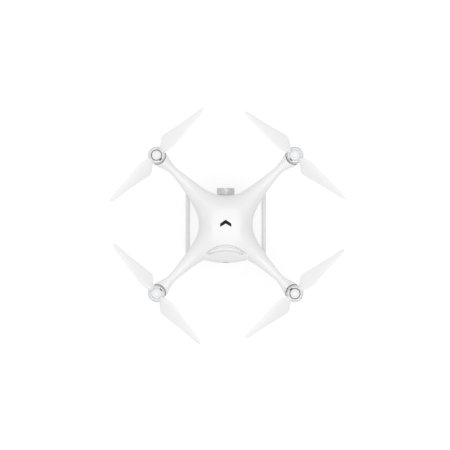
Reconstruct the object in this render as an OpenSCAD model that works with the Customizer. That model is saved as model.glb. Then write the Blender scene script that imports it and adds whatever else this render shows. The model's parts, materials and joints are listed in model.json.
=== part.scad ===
// Quadcopter drone with a gimbal camera and a slide-in battery.
// X points right, Y points to the nose, Z points up, and the drone stands on z = 0.

/* [Airframe] */
// Distance between the axes of two motors on one side
motor_pitch = 247.5; // [244:0.5:251]
// Wall thickness of the two shells, measured across an arm
shell_wall = 2; // [1.6:0.1:2.4]
// Height of the top of the dome above the ground
dome_z = 172; // [168:0.5:174]
// Height of the underside of the belly
belly_z = 108; // [107:0.5:109]
// How far the front arms bow forward of the straight line to their motors
arm_bow = 2; // [0:0.25:3]

/* [Propellers] */
// Radius of the circle that the blade tips sweep
prop_r = 119.5; // [100:0.5:120]
// Resting angle of the front left propeller
prop_angle_fl = 45; // [0:1:180]
// Resting angle of the front right propeller
prop_angle_fr = 139; // [0:1:180]
// Resting angle of the rear left propeller
prop_angle_rl = 131; // [0:1:180]
// Resting angle of the rear right propeller
prop_angle_rr = 42; // [0:1:180]

/* [Motors] */
// Outer radius of a motor bell
bell_r = 13.8; // [13.4:0.1:14]
// Height of the foot of a motor above the ground
motor_z = 152; // [151:0.5:153]

/* [Battery] */
// Width of the battery pack inside its bay
pack_w = 72; // [68:1:72]
// Height of the battery pack inside its bay
pack_h = 32; // [30:0.5:32]
// Height of the underside of the battery pack
pack_z = 117; // [117:0.5:118]
// Thickness of the battery case
case_wall = 1.6; // [1.2:0.1:2]

/* [Gimbal camera] */
// Height of the lens axis
lens_z = 72; // [70:0.5:72]
// Radius of the lens barrel
lens_r = 16; // [14:0.5:16]
// Distance from the centre of the drone to the front of the lens barrel
lens_front = 65.7; // [62:0.1:66]

/* [Landing gear] */
// Distance from the middle of the drone to each skid
skid_x = 69; // [66:1:72]
// Half the length of a skid, to the corner where its struts start
skid_y = 60; // [56:1:62]
// Thickness of the pads under the skids
pad_t = 2; // [1.5:0.5:3]

/* [Hidden] */
$fn = 48;

gap = 0.3;
m = motor_pitch / 2;
motor_d = m * sqrt(2);

// ---- The plan outline ----
// Each quarter of the airframe is measured along the diagonal to its motor (d) and across it (t).
// A side's outline gives the half width of the quarter at a distance d. Before its first knot the outline
// is the straight line that crosses the drone's own axis squarely.
arm_knots = [[90, 13], [115, 9.4], [136, 7.2], [150, 9.8], [158, 12.6], [167, 14.8]];
waist_side = concat(
  [[29, 39], [34, 34], [37, 31.3], [43, 26.8], [52, 22.2], [64, 18.2], [78, 15.2]], arm_knots);
nose_side = concat(
  [[31.5, 41.5], [36.5, 36.5], [40, 33.4], [46, 28.8], [54, 24], [64, 19.8], [78, 15.8]], arm_knots);
tail_side = concat(
  [[44, 54], [49, 49], [55.6, 41.7], [62, 33.5], [67.5, 25.3], [71.5, 19.4], [76, 16.8]], arm_knots);
// Shift of an arm's middle line across the diagonal
bow_knots = [[60, 0], [85, 0.8], [112, 1], [140, 0.8], [160, 0]];
arm_end = 167;
arm_end_w = 14.8;
// How much sooner the inner skin ends, for each mm of wall
end_inset = 3.55;
claw_r = norm([motor_d - arm_end, arm_end_w]);

// ---- Heights against the distance from the middle of the drone ----
crest_knots = [[-22, -0.9], [0, 0], [22, -0.9], [40, -4], [60, -10.5], [80, -16.5], [100, -20],
  [125, -21.2], [150, -19], [180, -15]];
seam_knots = [[0, 137], [50, 137], [90, 140], [130, 143.5], [180, 146.5]];
belly_knots = [[0, 0], [44, 0], [60, 3], [80, 13], [100, 21], [130, 27], [180, 30]];
edge_round = 24;
edge_land = 0.8;

// Index of the stretch of a table that holds x
function stretch(tb, x, i = 0) = (i >= len(tb) - 2 || x <= tb[i + 1][0]) ? i : stretch(tb, x, i + 1);
function slope(tb, i) = let(a = max(i - 1, 0), b = min(i + 1, len(tb) - 1))
  (tb[b][1] - tb[a][1]) / (tb[b][0] - tb[a][0]);
// Smooth curve through the knots of a table
function spline(tb, xx) = let(
  x = min(max(xx, tb[0][0]), tb[len(tb) - 1][0]),
  i = stretch(tb, x), h = tb[i + 1][0] - tb[i][0], s = (x - tb[i][0]) / h)
  (2 * s^3 - 3 * s^2 + 1) * tb[i][1] + (s^3 - 2 * s^2 + s) * h * slope(tb, i)
  + (3 * s^2 - 2 * s^3) * tb[i + 1][1] + (s^3 - s^2) * h * slope(tb, i + 1);

function half_w(side, d) = d < side[1][0] ? 2 * side[1][0] - d : spline(side, d);
function half_w_slope(side, d) = half_w(side, d + 0.5) - half_w(side, d - 0.5);
// 1 at the outline, falling to 0 where the rounded edge of the shell ends
function edge_u(side, d, t, inset) = let(
  w = half_w(side, d) - inset,
  run = min(w, edge_round * sqrt(1 + half_w_slope(side, d)^2)))
  min(max((abs(t) - w + run) / run, 0), 1);

function seam_z(r) = spline(seam_knots, r);
function top_z(side, d, t, inset = 0) = let(r = norm([d, t]), z0 = seam_z(r) + edge_land)
  z0 + (dome_z - inset + spline(crest_knots, r) - z0) * sqrt(max(1 - edge_u(side, d, t, inset)^2, 0));
function bottom_z(side, d, t, inset = 0) = let(r = norm([d, t]), z0 = seam_z(r) - edge_land)
  z0 - (z0 - belly_z - inset - spline(belly_knots, r)) * (1 - edge_u(side, d, t, inset)^2.6)^(1 / 2.6);

// Heights of the outer skin at a place on the drone's own X and Y
function side_at(x, y) = abs(x) > abs(y) ? waist_side : (y > 0 ? nose_side : tail_side);
function along(x, y) = (abs(x) + abs(y)) / sqrt(2);
function across(x, y) = (abs(x) - abs(y)) / sqrt(2);
function skin_top(x, y) = top_z(side_at(x, y), along(x, y), across(x, y));
function skin_bottom(x, y) = bottom_z(side_at(x, y), along(x, y), across(x, y));

// ---- The shells, as one closed skin over four quarters ----
quarters = [[1, 1], [-1, 1], [-1, -1], [1, -1]];
body_rows = 5;
arm_rows = 15;
rows = body_rows + arm_rows;
cols = 12;
rim_count = 2 * arm_rows + cols;
claw_rows = 4;

// Distance along the diagonal at which a row meets the side
function row_d(side, r, inset) = let(start = side[1][0] - inset / 2)
  r <= body_rows ? start * sin(90 * r / body_rows)
                 : start + (arm_end - end_inset * inset - start) * (r - body_rows) / arm_rows;
// A point of the skin in plan, as distances along and across the diagonal
function plan(q, r, c, inset) = let(
  end_side = q[1] > 0 ? nose_side : tail_side,
  da = row_d(end_side, r, inset), db = row_d(waist_side, r, inset),
  ta = r <= body_rows ? da : half_w(end_side, da) - inset,
  tb = r <= body_rows ? db : half_w(waist_side, db) - inset,
  v = (1 - cos(180 * c / cols)) / 2,
  t = -ta + (ta + tb) * v,
  w = t < 0 ? ta : tb,
  claw = claw_r + inset,
  ease = (r - rows) / claw_rows + 1,
  pull = ease > 0 ? ease^2 * (sqrt(claw^2 - w^2) - sqrt(claw^2 - t^2)) : 0)
  [da + (db - da) * v + pull, t];
function snap(v) = round(v * 1e5) / 1e5 + 0;
function place(q, p, z) = let(
  bow = q[1] > 0 && p[0] > 60 ? -arm_bow * spline(bow_knots, p[0]) : 0,
  t = p[1] + bow)
  [snap(q[0] * (p[0] + t) / sqrt(2)), snap(q[1] * (p[0] - t) / sqrt(2)), snap(z)];
function skin_point(q, r, c, inset, up) = let(
  p = plan(q, r, c, inset),
  side = p[1] > 0 ? waist_side : (q[1] > 0 ? nose_side : tail_side))
  place(q, p, up ? top_z(side, p[0], p[1], inset) : bottom_z(side, p[0], p[1], inset));
// Row and column of the rim's p-th point, along one side, round the claw and back along the other side
function rim_row(p) = p <= arm_rows ? body_rows + p : min(rows, 2 * rows - body_rows + cols - p);
function rim_col(p) = p <= arm_rows ? 0 : (p <= arm_rows + cols ? p - arm_rows : cols);
function rim_point(q, p, inset) = let(at = plan(q, rim_row(p), rim_col(p), inset))
  place(q, at, seam_z(norm(at)));

function grid_id(layer, k, r, c) = ((layer * 4 + k) * (rows + 1) + r) * (cols + 1) + c;
function rim_id(layer, k, p) = 8 * (rows + 1) * (cols + 1) + (layer * 4 + k) * (rim_count + 1) + p;
function turn(f, flip) = flip ? [f[0], f[2], f[1]] : f;
function quad(a, b, c, d, flip) = [turn([a, b, c], flip), turn([a, c, d], flip)];
function flatten(l) = [for (a = l) for (b = a) b];

module shell_skin(up) {
  points = concat(
    [for (layer = [0, 1]) for (q = quarters) for (r = [0:rows]) for (c = [0:cols])
      skin_point(q, r, c, layer * shell_wall, up)],
    [for (layer = [0, 1]) for (q = quarters) for (p = [0:rim_count]) rim_point(q, p, layer * shell_wall)]);
  function hand(k, other) = (quarters[k][0] * quarters[k][1] > 0) != (up != other);
  centre = [for (layer = [0, 1]) for (k = [0:3]) for (c = [0:cols - 1])
    turn([grid_id(layer, k, 0, 0), grid_id(layer, k, 1, c), grid_id(layer, k, 1, c + 1)],
         hand(k, layer == 1))];
  skin = flatten([for (layer = [0, 1]) for (k = [0:3]) for (r = [1:rows - 1]) for (c = [0:cols - 1])
    quad(grid_id(layer, k, r, c), grid_id(layer, k, r + 1, c), grid_id(layer, k, r + 1, c + 1),
         grid_id(layer, k, r, c + 1), hand(k, layer == 1))]);
  skirt = flatten([for (layer = [0, 1]) for (k = [0:3]) for (p = [0:rim_count - 1])
    quad(grid_id(layer, k, rim_row(p), rim_col(p)), rim_id(layer, k, p), rim_id(layer, k, p + 1),
         grid_id(layer, k, rim_row(p + 1), rim_col(p + 1)), hand(k, layer == 1))]);
  lip = flatten([for (k = [0:3]) for (p = [0:rim_count - 1])
    quad(rim_id(0, k, p), rim_id(1, k, p), rim_id(1, k, p + 1), rim_id(0, k, p + 1), hand(k, false))]);
  polyhedron(points = points, faces = concat(lip, skirt, skin, centre));
}

// A solid between two heights over a patch whose corners are at(i, j), for i up to ni and j up to nj
module patch_solid(at, low, high, ni, nj) {
  function id(top, i, j) = (top * (ni + 1) + i) * (nj + 1) + j;
  points = [for (top = [0, 1]) for (i = [0:ni]) for (j = [0:nj])
    let(p = at(i, j)) [p[0], p[1], top == 1 ? high(p[0], p[1]) : low(p[0], p[1])]];
  faces = flatten(concat(
    [for (top = [0, 1]) for (i = [0:ni - 1]) for (j = [0:nj - 1])
      quad(id(top, i, j), id(top, i, j + 1), id(top, i + 1, j + 1), id(top, i + 1, j), top == 1)],
    [for (i = [0:ni - 1]) for (j = [0, nj])
      quad(id(0, i, j), id(1, i, j), id(1, i + 1, j), id(0, i + 1, j), j == 0)],
    [for (j = [0:nj - 1]) for (i = [0, ni])
      quad(id(0, i, j), id(0, i, j + 1), id(1, i, j + 1), id(1, i, j), i == 0)]));
  polyhedron(points = points, faces = faces);
}

// ---- The battery's end cap and the opening that it fills ----
cap_w = 80;
cap_steps = 16;
cap_front = 37;
cap_sweep = 20;
tail_y = 69.3;
tail_sweep = 6;
cap_clear = 0.4;
function cap_x(i) = cap_w * (i / cap_steps - 0.5);
function cap_front_y(x) = -cap_front - cap_sweep * (2 * x / cap_w)^2;
function cap_rear_y(x) = -tail_y + tail_sweep * (2 * x / cap_w)^2 + 0.05;
function bay_mouth() = concat(
  [for (i = [0:cap_steps]) let(x = cap_x(i)) [x * (1 + 2 * cap_clear / cap_w), cap_front_y(x) + cap_clear]],
  [[cap_w / 2 + cap_clear, -tail_y - 5], [-cap_w / 2 - cap_clear, -tail_y - 5]]);

module bay_mouth_cut() {
  translate([0, 0, belly_z - 10]) linear_extrude(dome_z - belly_z + 20) polygon(bay_mouth());
}

// ---- Ports and sensors that the lower shell is pierced for ----
eye_x = 22;
eye_z = 121;
eye_r = 5.5;
port_z = 124;
port_y = -6;
button_y = 7;
button_r = 2.4;
belly_window = [34, 24];
belly_window_y = -21;

module lower_shell_cuts() {
  bay_mouth_cut();
  for (s = [-1, 1]) translate([s * eye_x, 30, eye_z]) rotate([-90, 0, 0]) cylinder(r = eye_r + gap, h = 40);
  translate([42, port_y - 4.5, port_z - 2]) cube([10, 9, 4]);
  translate([42, button_y, port_z]) rotate([0, 90, 0]) cylinder(r = button_r + gap, h = 10);
  translate([-belly_window[0] / 2 - gap, belly_window_y - belly_window[1] / 2 - gap, belly_z - 5])
    cube([belly_window[0] + 2 * gap, belly_window[1] + 2 * gap, 10]);
}

module upper_shell() {
  color("white") difference() {
    shell_skin(true);
    bay_mouth_cut();
  }
}

module lower_shell() {
  color("white") difference() {
    shell_skin(false);
    lower_shell_cuts();
  }
}

// A forward-pointing chevron on top of the dome
mark_w = 20;
mark_len = 13;
module top_mark() {
  color("black") translate([0, 2, dome_z + 0.05]) linear_extrude(0.5)
    polygon([[0, mark_len / 2], [mark_w / 2, -mark_len / 6], [mark_w / 2, -mark_len / 2], [0, mark_len / 8],
      [-mark_w / 2, -mark_len / 2], [-mark_w / 2, -mark_len / 6]]);
}

// ---- Inside the airframe ----
bay_wall = 1.6;
bay_side = 0.6;
bay_lift = 0.5;
bay_y = [-36, 32];
pack_front = 28;
bay_in_w = pack_w + 2 * bay_side;
bay_in_h = pack_h + 2 * bay_lift;
bay_top = pack_z + pack_h + bay_lift + bay_wall;

module battery_bay() {
  color("dimgray") difference() {
    translate([-bay_in_w / 2 - bay_wall, bay_y[0], pack_z - bay_lift - bay_wall])
      cube([bay_in_w + 2 * bay_wall, bay_y[1] - bay_y[0], bay_in_h + 2 * bay_wall]);
    translate([-bay_in_w / 2, bay_y[0] - 1, pack_z - bay_lift])
      cube([bay_in_w, bay_y[1] - bay_y[0] - bay_wall + 1, bay_in_h]);
    translate([-17, bay_y[1] - bay_wall - 1, pack_z + 7]) cube([34, bay_wall + 2, 12]);
  }
}

module bay_connector() {
  color("black") translate([-16.6, bay_y[1] - bay_wall, pack_z + 7.4]) cube([33.2, 5, 11.2]);
  color("gold") for (i = [-3:3])
    translate([i * 4.4 - 0.6, bay_y[1] - bay_wall - 2, pack_z + 11]) cube([1.2, 2, 4]);
}

board_w = 62;
board_l = 58;
control_z = bay_top + 0.6;
main_z = control_z + 5;

module board_outline(w, l) {
  for (s = [-1, 1]) translate([s * (w / 2 - 6), 0]) square([12, l - 8], center = true);
  square([w - 16, l], center = true);
}

module speed_control_board() {
  color("darkgreen") translate([0, -4, control_z]) linear_extrude(1.6) board_outline(board_w, board_l);
  color("black") for (x = [-22, 22], y = [-22, -8, 8, 14])
    translate([x - 4, y - 6, control_z + 1.6]) cube([8, 8, 1.5]);
}

module main_board() {
  color("green") translate([0, -4, main_z]) linear_extrude(1.6) board_outline(board_w - 6, board_l - 6);
  color("black") {
    translate([-9, -2, main_z + 1.6]) cube([18, 16, 1.2]);
    for (y = [-24, -14]) translate([8, y, main_z + 1.6]) cube([12, 7, 1]);
    translate([-22, -24, main_z + 1.6]) cube([9, 14, 2]);
  }
}

module heat_sink() {
  color("silver") {
    translate([-8, -1, main_z + 2.9]) cube([16, 14, 1.2]);
    for (i = [0:4]) translate([-8 + i * 3.7, -1, main_z + 4.1]) cube([1.2, 14, 2.2]);
  }
}

module gps_antenna() {
  color("tan") translate([-12.5, -28, main_z + 5]) cube([25, 22, 4]);
  color("silver") translate([-9, -24.5, main_z + 9]) cube([18, 15, 0.6]);
  color("green") translate([-13.5, -29, main_z + 3.9]) cube([27, 24, 1.1]);
}

module motion_sensor() {
  color("dimgray") translate([-27, 8, main_z + 1.7]) cube([14, 12, 4]);
}

eye_front = 49.6;
module front_vision_sensors() {
  color("dimgray") difference() {
    union() {
      translate([-30, 36, eye_z - 4]) cube([60, 3, 8]);
      for (s = [-1, 1]) translate([s * eye_x, 38.5, eye_z]) rotate([-90, 0, 0])
        cylinder(r = eye_r, h = eye_front - 38.5);
    }
    for (s = [-1, 1]) translate([s * eye_x, eye_front - 2, eye_z]) rotate([-90, 0, 0])
      cylinder(r1 = 2.4, r2 = 4.6, h = 2.01);
  }
}

module belly_vision_module() {
  color("black") difference() {
    translate([-belly_window[0] / 2, belly_window_y - belly_window[1] / 2, belly_z - 1])
      cube([belly_window[0], belly_window[1], 5.4]);
    for (x = [-9, 9]) translate([x, belly_window_y + 6, belly_z - 1.01]) cylinder(r = 4, h = 1.6);
    for (x = [-9, 9]) translate([x, belly_window_y - 5, belly_z - 1.01]) cylinder(r = 5.6, h = 1);
  }
}

module usb_port() {
  color("silver") difference() {
    translate([39.4, port_y - 4, port_z - 1.6]) cube([6, 8, 3.2]);
    translate([41, port_y - 3.5, port_z - 1.1]) cube([6, 7, 2.2]);
  }
}

module link_switch() {
  color("black") translate([39.2, button_y - 3, port_z - 3]) cube([2.2, 6, 6]);
}

module link_button() {
  color("lightgray") {
    translate([42.6, button_y, port_z]) rotate([0, 90, 0]) cylinder(r = button_r, h = 5.2);
    translate([42.4, button_y, port_z]) rotate([0, 90, 0]) cylinder(r = button_r + 0.8, h = 0.8);
  }
}

// ---- Landing gear ----
leg_top = [38, 33, 107.9];
skid_half = 3.6;
skid_deep = 4.6;
strut_half = 9;
leg_sides = 12;
skid_z = pad_t + skid_deep * cos(180 / leg_sides);
corner_run = 17;

// Half of a leg's middle line, as [y, z], from its root to the middle of the skid
function leg_path() = let(
  root = [leg_top[1], leg_top[2]], corner = [skid_y, skid_z],
  dir = (root - corner) / norm(root - corner),
  a = corner + dir * corner_run, b = corner - [corner_run, 0])
  concat(
    [for (i = [0:4]) root + (a - root) * i / 5],
    [for (i = [0:7]) let(s = i / 7) (1 - s)^2 * a + 2 * s * (1 - s) * corner + s^2 * b],
    [[skid_y / 3, skid_z]]);
// How far out the leg stands at a height
function leg_x(z) = skid_x - (skid_x - leg_top[0]) * ((z - skid_z) / (leg_top[2] - skid_z))^1.3;

module landing_gear(side) {
  half = leg_path();
  n = len(half);
  path = concat(half, [for (i = [n - 1:-1:0]) [-half[i][0], half[i][1]]]);
  count = len(path);
  points = flatten([for (i = [0:count - 1]) let(
    before = path[max(i - 1, 0)], after = path[min(i + 1, count - 1)],
    dir = (after - before) / norm(after - before),
    across = i == 0 ? [1, 0] : (i == count - 1 ? [-1, 0] : [-dir[1], dir[0]]),
    rise = max((path[i][1] - skid_z) / (leg_top[2] - skid_z), 0),
    wide = skid_deep + (strut_half - skid_deep) * rise^0.7)
    [for (k = [0:leg_sides - 1]) let(
      a = 360 * (k + 0.5) / leg_sides,
      y = path[i][0] + across[0] * wide * cos(a), z = path[i][1] + across[1] * wide * cos(a))
      [side * (leg_x(max(path[i][1], skid_z)) + skid_half * sin(a)), y, z]]]);
  sides = flatten([for (i = [0:count - 2]) for (k = [0:leg_sides - 1]) let(k2 = (k + 1) % leg_sides)
    quad(i * leg_sides + k, (i + 1) * leg_sides + k, (i + 1) * leg_sides + k2, i * leg_sides + k2,
         side > 0)]);
  ends = [for (k = [1:leg_sides - 2]) each [
    turn([0, k, k + 1], side > 0),
    turn([(count - 1) * leg_sides, (count - 1) * leg_sides + k + 1, (count - 1) * leg_sides + k],
         side > 0)]];
  color("white") polyhedron(points = points, faces = concat(sides, ends));
}

module skid_pads() {
  color("dimgray") for (sx = [-1, 1], sy = [-1, 1])
    translate([sx * skid_x, sy * 30, pad_t / 2]) cube([4.4, 26, pad_t], center = true);
}

// ---- Motors ----
module at_motors() {
  for (sx = [-1, 1], sy = [-1, 1]) translate([sx * m, sy * m, 0]) children();
}

pod_r = 15.6;
pod_top = motor_z - 2;
pod_z = 134;
screw_r = 8;

module at_screws() {
  for (a = [45:90:315]) rotate(a) translate([screw_r, 0, 0]) children();
}

module motor_mounts() {
  color("white") at_motors() difference() {
    translate([0, 0, pod_z]) cylinder(r = pod_r, h = pod_top - pod_z);
    translate([0, 0, pod_z - 1]) cylinder(r = pod_r - 1.8, h = pod_top - pod_z - 1.5);
    at_screws() translate([0, 0, pod_z]) cylinder(r = 1.6, h = 30, $fn = 24);
  }
}

module arm_light_covers() {
  color("ivory") at_motors() translate([0, 0, pod_z - 1.2]) union() {
    cylinder(r = pod_r, h = 1.1);
    cylinder(r = pod_r - 2.1, h = 2);
  }
}

module arm_light_boards() {
  color("white") at_motors() translate([0, 0, pod_z + 3]) {
    cylinder(r = 11, h = 1.2);
    for (a = [0, 120, 240]) rotate(a) translate([6, 0, -0.8]) cube([3, 3, 1.6], center = true);
  }
}

stator_r = 11.2;
module stator_bases() {
  color("silver") at_motors() difference() {
    union() {
      translate([0, 0, pod_top]) cylinder(r = 13.2, h = 2);
      translate([0, 0, motor_z]) cylinder(r = 4, h = 14);
    }
    translate([0, 0, pod_top - 1]) cylinder(r = 3.1, h = 20);
    at_screws() translate([0, 0, pod_top - 1]) cylinder(r = 1.3, h = 2.6, $fn = 24);
  }
}

tooth_count = 12;
module stator_cores() {
  color("slategray") at_motors() translate([0, 0, motor_z + 3]) linear_extrude(8.5) difference() {
    union() {
      circle(r = 6);
      for (a = [0:360 / tooth_count:359]) rotate(a) {
        translate([5, -0.9]) square([5, 1.8]);
        translate([9.8, -2.3]) square([stator_r - 9.8, 4.6]);
      }
    }
    circle(r = 4.05);
  }
}

module stator_windings() {
  color("chocolate") at_motors() for (a = [0:360 / tooth_count:359], z = [motor_z + 1.6, motor_z + 11.6])
    rotate(a) translate([6.6, -1.4, z]) cube([3, 2.8, 1.3]);
}

module motor_bearings() {
  color("silver") at_motors() for (z = [motor_z - 1.5, motor_z + 10.5]) translate([0, 0, z]) difference() {
    cylinder(r = 3.05, h = 3);
    translate([0, 0, -1]) cylinder(r = 1.55, h = 5);
  }
}

module motor_screws() {
  color("dimgray") at_motors() at_screws() translate([0, 0, pod_top - 2.6]) union() {
    translate([0, 0, -1.4]) cylinder(r = 2.3, h = 1.4, $fn = 24);
    cylinder(r = 1.25, h = 4.1, $fn = 24);
  }
}

module shell_screws() {
  color("dimgray") for (q = quarters) for (d = [66, 108]) {
    p = place(q, [d, 0], 0);
    low = bottom_z(waist_side, d - 3, 0);
    translate([p[0], p[1], low - 1.3]) difference() {
      cylinder(r = 2.4, h = 1.2, $fn = 24);
      translate([0, 0, -0.1]) cylinder(r = 1.2, h = 0.8, $fn = 6);
    }
  }
}

bell_h = 17;
shaft_r = 1.5;
module motor_bell(sx, sy) {
  color("gainsboro") translate([sx * m, sy * m, motor_z + 0.6]) difference() {
    union() {
      cylinder(r = bell_r, h = bell_h - 1.2);
      translate([0, 0, bell_h - 1.2]) cylinder(r1 = bell_r, r2 = bell_r - 1.2, h = 1.2);
    }
    difference() {
      translate([0, 0, -0.01]) cylinder(r = bell_r - 1.3, h = bell_h - 2.2);
      translate([0, 0, -2.6]) cylinder(r = shaft_r, h = bell_h);
    }
    for (a = [0:60:300]) rotate(a) translate([8.6, 0, bell_h - 4]) cylinder(r = 1.9, h = 6, $fn = 24);
  }
  color("silver") translate([sx * m, sy * m, motor_z - 1.8]) cylinder(r = shaft_r, h = 6);
  color("dimgray") translate([sx * m, sy * m, motor_z + 0.6 + bell_h - 0.5]) cylinder(r = 4.9, h = 5.3);
}

// ---- Propellers ----
blade_z = motor_z + 23.5;
hub_r = 8.4;
hub_z = motor_z + 18;
hub_h = 9;
lead_knots = [[6, 3.6], [12, 4.6], [22, 8], [33, 10], [60, 8], [90, 5.6], [112, 3.6], [119.5, 1.4]];
trail_knots = [[6, 3.4], [14, 5.2], [21, 10.4], [28, 15.4], [33, 16.8], [40, 15.8], [60, 12], [90, 6.8],
  [112, 3.6], [119.5, 1.2]];
pitch_knots = [[6, 12], [20, 18], [34, 21], [60, 16], [90, 11], [119.5, 8]];
thick_knots = [[6, 4.6], [16, 3.4], [30, 2.4], [60, 1.7], [90, 1.3], [119.5, 0.8]];
blade_stations = [6, 12, 17, 22, 27, 32, 37, 45, 58, 74, 90, 104, 113, 117.5, 119.5];
blade_tip = blade_stations[len(blade_stations) - 1];
section_sides = 8;

// One blade along +X, leading with its -Y edge when it turns clockwise seen from above
module blade() {
  n = len(blade_stations);
  points = flatten([for (r = blade_stations) let(
    lead = spline(lead_knots, r), trail = spline(trail_knots, r),
    pitch = spline(pitch_knots, r),
    half = (lead + trail) / 2 / cos(pitch), mid = (trail - lead) / 2, thick = spline(thick_knots, r) / 2)
    [for (k = [0:section_sides - 1]) let(
      a = 360 * (k + 0.5) / section_sides, run = half * cos(a), up = thick * sin(a))
      [r * prop_r / blade_tip, mid + run * cos(pitch) + up * sin(pitch),
       up * cos(pitch) - run * sin(pitch)]]]);
  sides = flatten([for (i = [0:n - 2]) for (k = [0:section_sides - 1]) let(k2 = (k + 1) % section_sides)
    quad(i * section_sides + k, i * section_sides + k2, (i + 1) * section_sides + k2,
         (i + 1) * section_sides + k, true)]);
  ends = [for (k = [1:section_sides - 2]) each [
    [0, k, k + 1],
    [(n - 1) * section_sides, (n - 1) * section_sides + k + 1, (n - 1) * section_sides + k]]];
  polyhedron(points = points, faces = concat(sides, ends));
}

skirt_r = 12.2;
lock_slot = [6, 1.6];
lock_r = 10.8;
module propeller(sx, sy, angle, clockwise) {
  color("whitesmoke") translate([sx * m, sy * m, 0]) rotate(angle) difference() {
    union() {
      translate([0, 0, hub_z]) cylinder(r = skirt_r, h = 1.8);
      translate([0, 0, hub_z]) cylinder(r = hub_r, h = hub_h);
      for (turn = [0, 180]) rotate(turn) translate([0, 0, blade_z - 1])
        mirror([0, clockwise ? 0 : 1, 0]) blade();
    }
    translate([0, 0, hub_z - 1]) cylinder(r = 5.2, h = 6);
    translate([-lock_slot[0] / 2, sx * lock_r - lock_slot[1] / 2, hub_z - 1])
      cube([lock_slot[0], lock_slot[1], 4]);
  }
}

ring_r = 9.9;
module prop_ring(sx, sy, shade) {
  color(shade) translate([sx * m, sy * m, hub_z + hub_h + 0.1]) union() {
    difference() {
      cylinder(r = ring_r, h = 2.6);
      translate([0, 0, 1.6]) cylinder(r = ring_r - 1.4, h = 2);
    }
    cylinder(r = 4.5, h = 3.2);
  }
}

// ---- Gimbal and camera ----
plate_z = belly_z - 3.5;
yaw_y = 4;
damper_h = 6;
base_z = plate_z - damper_h - 3;
damper_at = [for (sx = [-1, 1], y = [-2, 32]) [sx * 19, y]];
pitch_y = 40;
motor_disc = 9.5;

module gimbal_plate_outline() {
  for (p = damper_at) translate(p) circle(r = 5.6);
  translate([-14, -6]) square([28, 42]);
  for (y = [-2, 32]) translate([-19, y - 4]) square([38, 8]);
}

module damper_plate() {
  color("dimgray") difference() {
    translate([0, 0, plate_z]) linear_extrude(3) gimbal_plate_outline();
    for (p = damper_at) translate([p[0], p[1], plate_z - 1]) cylinder(r = 2, h = 5);
  }
}

module gimbal_dampers() {
  color("black") for (p = damper_at) translate([p[0], p[1], plate_z - damper_h]) rotate_extrude()
    polygon([[0, 0], [2.6, 0], [4.4, 1.6], [4.4, 4.4], [2.6, 6], [1.8, 6], [1.8, 8.4], [0, 8.4]]);
}

module gimbal_base() {
  color("silver") union() {
    translate([0, 0, base_z]) linear_extrude(3) gimbal_plate_outline();
    translate([0, yaw_y, base_z - 5.5]) cylinder(r = motor_disc + 1, h = 5.5);
  }
}

yaw_top = base_z - 5.5 - gap;
module yaw_arm() {
  color("silver") union() {
    translate([0, yaw_y, yaw_top - 4]) cylinder(r = motor_disc + 1, h = 4);
    translate([-6.5, yaw_y - 10, lens_z - 7]) cube([13, 7, yaw_top - lens_z + 6]);
    translate([-6.5, yaw_y - 10, yaw_top - 7]) cube([13, 10, 5]);
  }
}

roll_y = yaw_y - 3;
module roll_motor() {
  color("dimgray") translate([0, roll_y, lens_z]) rotate([-90, 0, 0]) cylinder(r = motor_disc, h = 9);
}

roll_front = roll_y + 9 + gap;
arm_x = 24.6;
module roll_arm() {
  color("silver") union() {
    translate([0, roll_front, lens_z]) rotate([-90, 0, 0]) cylinder(r = motor_disc, h = 4);
    translate([0, roll_front + 3, lens_z - 7]) cube([arm_x + 3.4, 3.6, 14]);
    translate([arm_x, roll_front + 3, lens_z - 7]) cube([3.4, pitch_y - roll_front, 14]);
    translate([arm_x, pitch_y, lens_z]) rotate([0, 90, 0]) cylinder(r = motor_disc, h = 3.4);
  }
}

cam_half = 17;
module pitch_motor() {
  color("dimgray") translate([cam_half + 2.5, pitch_y, lens_z]) rotate([0, 90, 0])
    cylinder(r = motor_disc - 1, h = arm_x - cam_half - 2.5);
}

cam_rear = pitch_y - 12;
cam_front = pitch_y + 12;
cam_up = 14;
card = [15, 11, 1];
card_x = -16.4;

module camera_body() {
  color("silver") difference() {
    union() {
      translate([-cam_half, cam_rear + 3, lens_z - cam_up])
        cube([2 * cam_half, cam_front - cam_rear - 3, 2 * cam_up]);
      translate([cam_half, pitch_y, lens_z]) rotate([0, 90, 0]) cylinder(r = motor_disc - 1, h = 2.2);
    }
    translate([-cam_half + 2, cam_rear + 2, lens_z - cam_up + 5])
      cube([2 * cam_half - 4, cam_front - cam_rear - 5, 2 * cam_up - 7]);
    translate([0, cam_front - 4, lens_z]) rotate([-90, 0, 0]) cylinder(r = 11.2, h = 6);
    translate([-cam_half - 1, pitch_y - card[1] / 2 - gap, lens_z - cam_up + 2 - gap])
      cube([card[0] + 3, card[1] + 2 * gap, card[2] + 2 * gap]);
  }
}

module camera_rear_cover() {
  color("dimgray") union() {
    translate([-cam_half, cam_rear + 1, lens_z - cam_up]) cube([2 * cam_half, 2, 2 * cam_up]);
    for (i = [0:5]) translate([-cam_half + 3 + i * 5.4, cam_rear, lens_z - cam_up + 3])
      cube([1.6, 1.1, 2 * cam_up - 6]);
  }
}

module image_sensor() {
  color("darkgreen") translate([-12, cam_rear + 4, lens_z - 8]) cube([24, 1.6, 18]);
  color("black") translate([-7, cam_rear + 5.6, lens_z - 5]) cube([14, 1.4, 10]);
}

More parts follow.
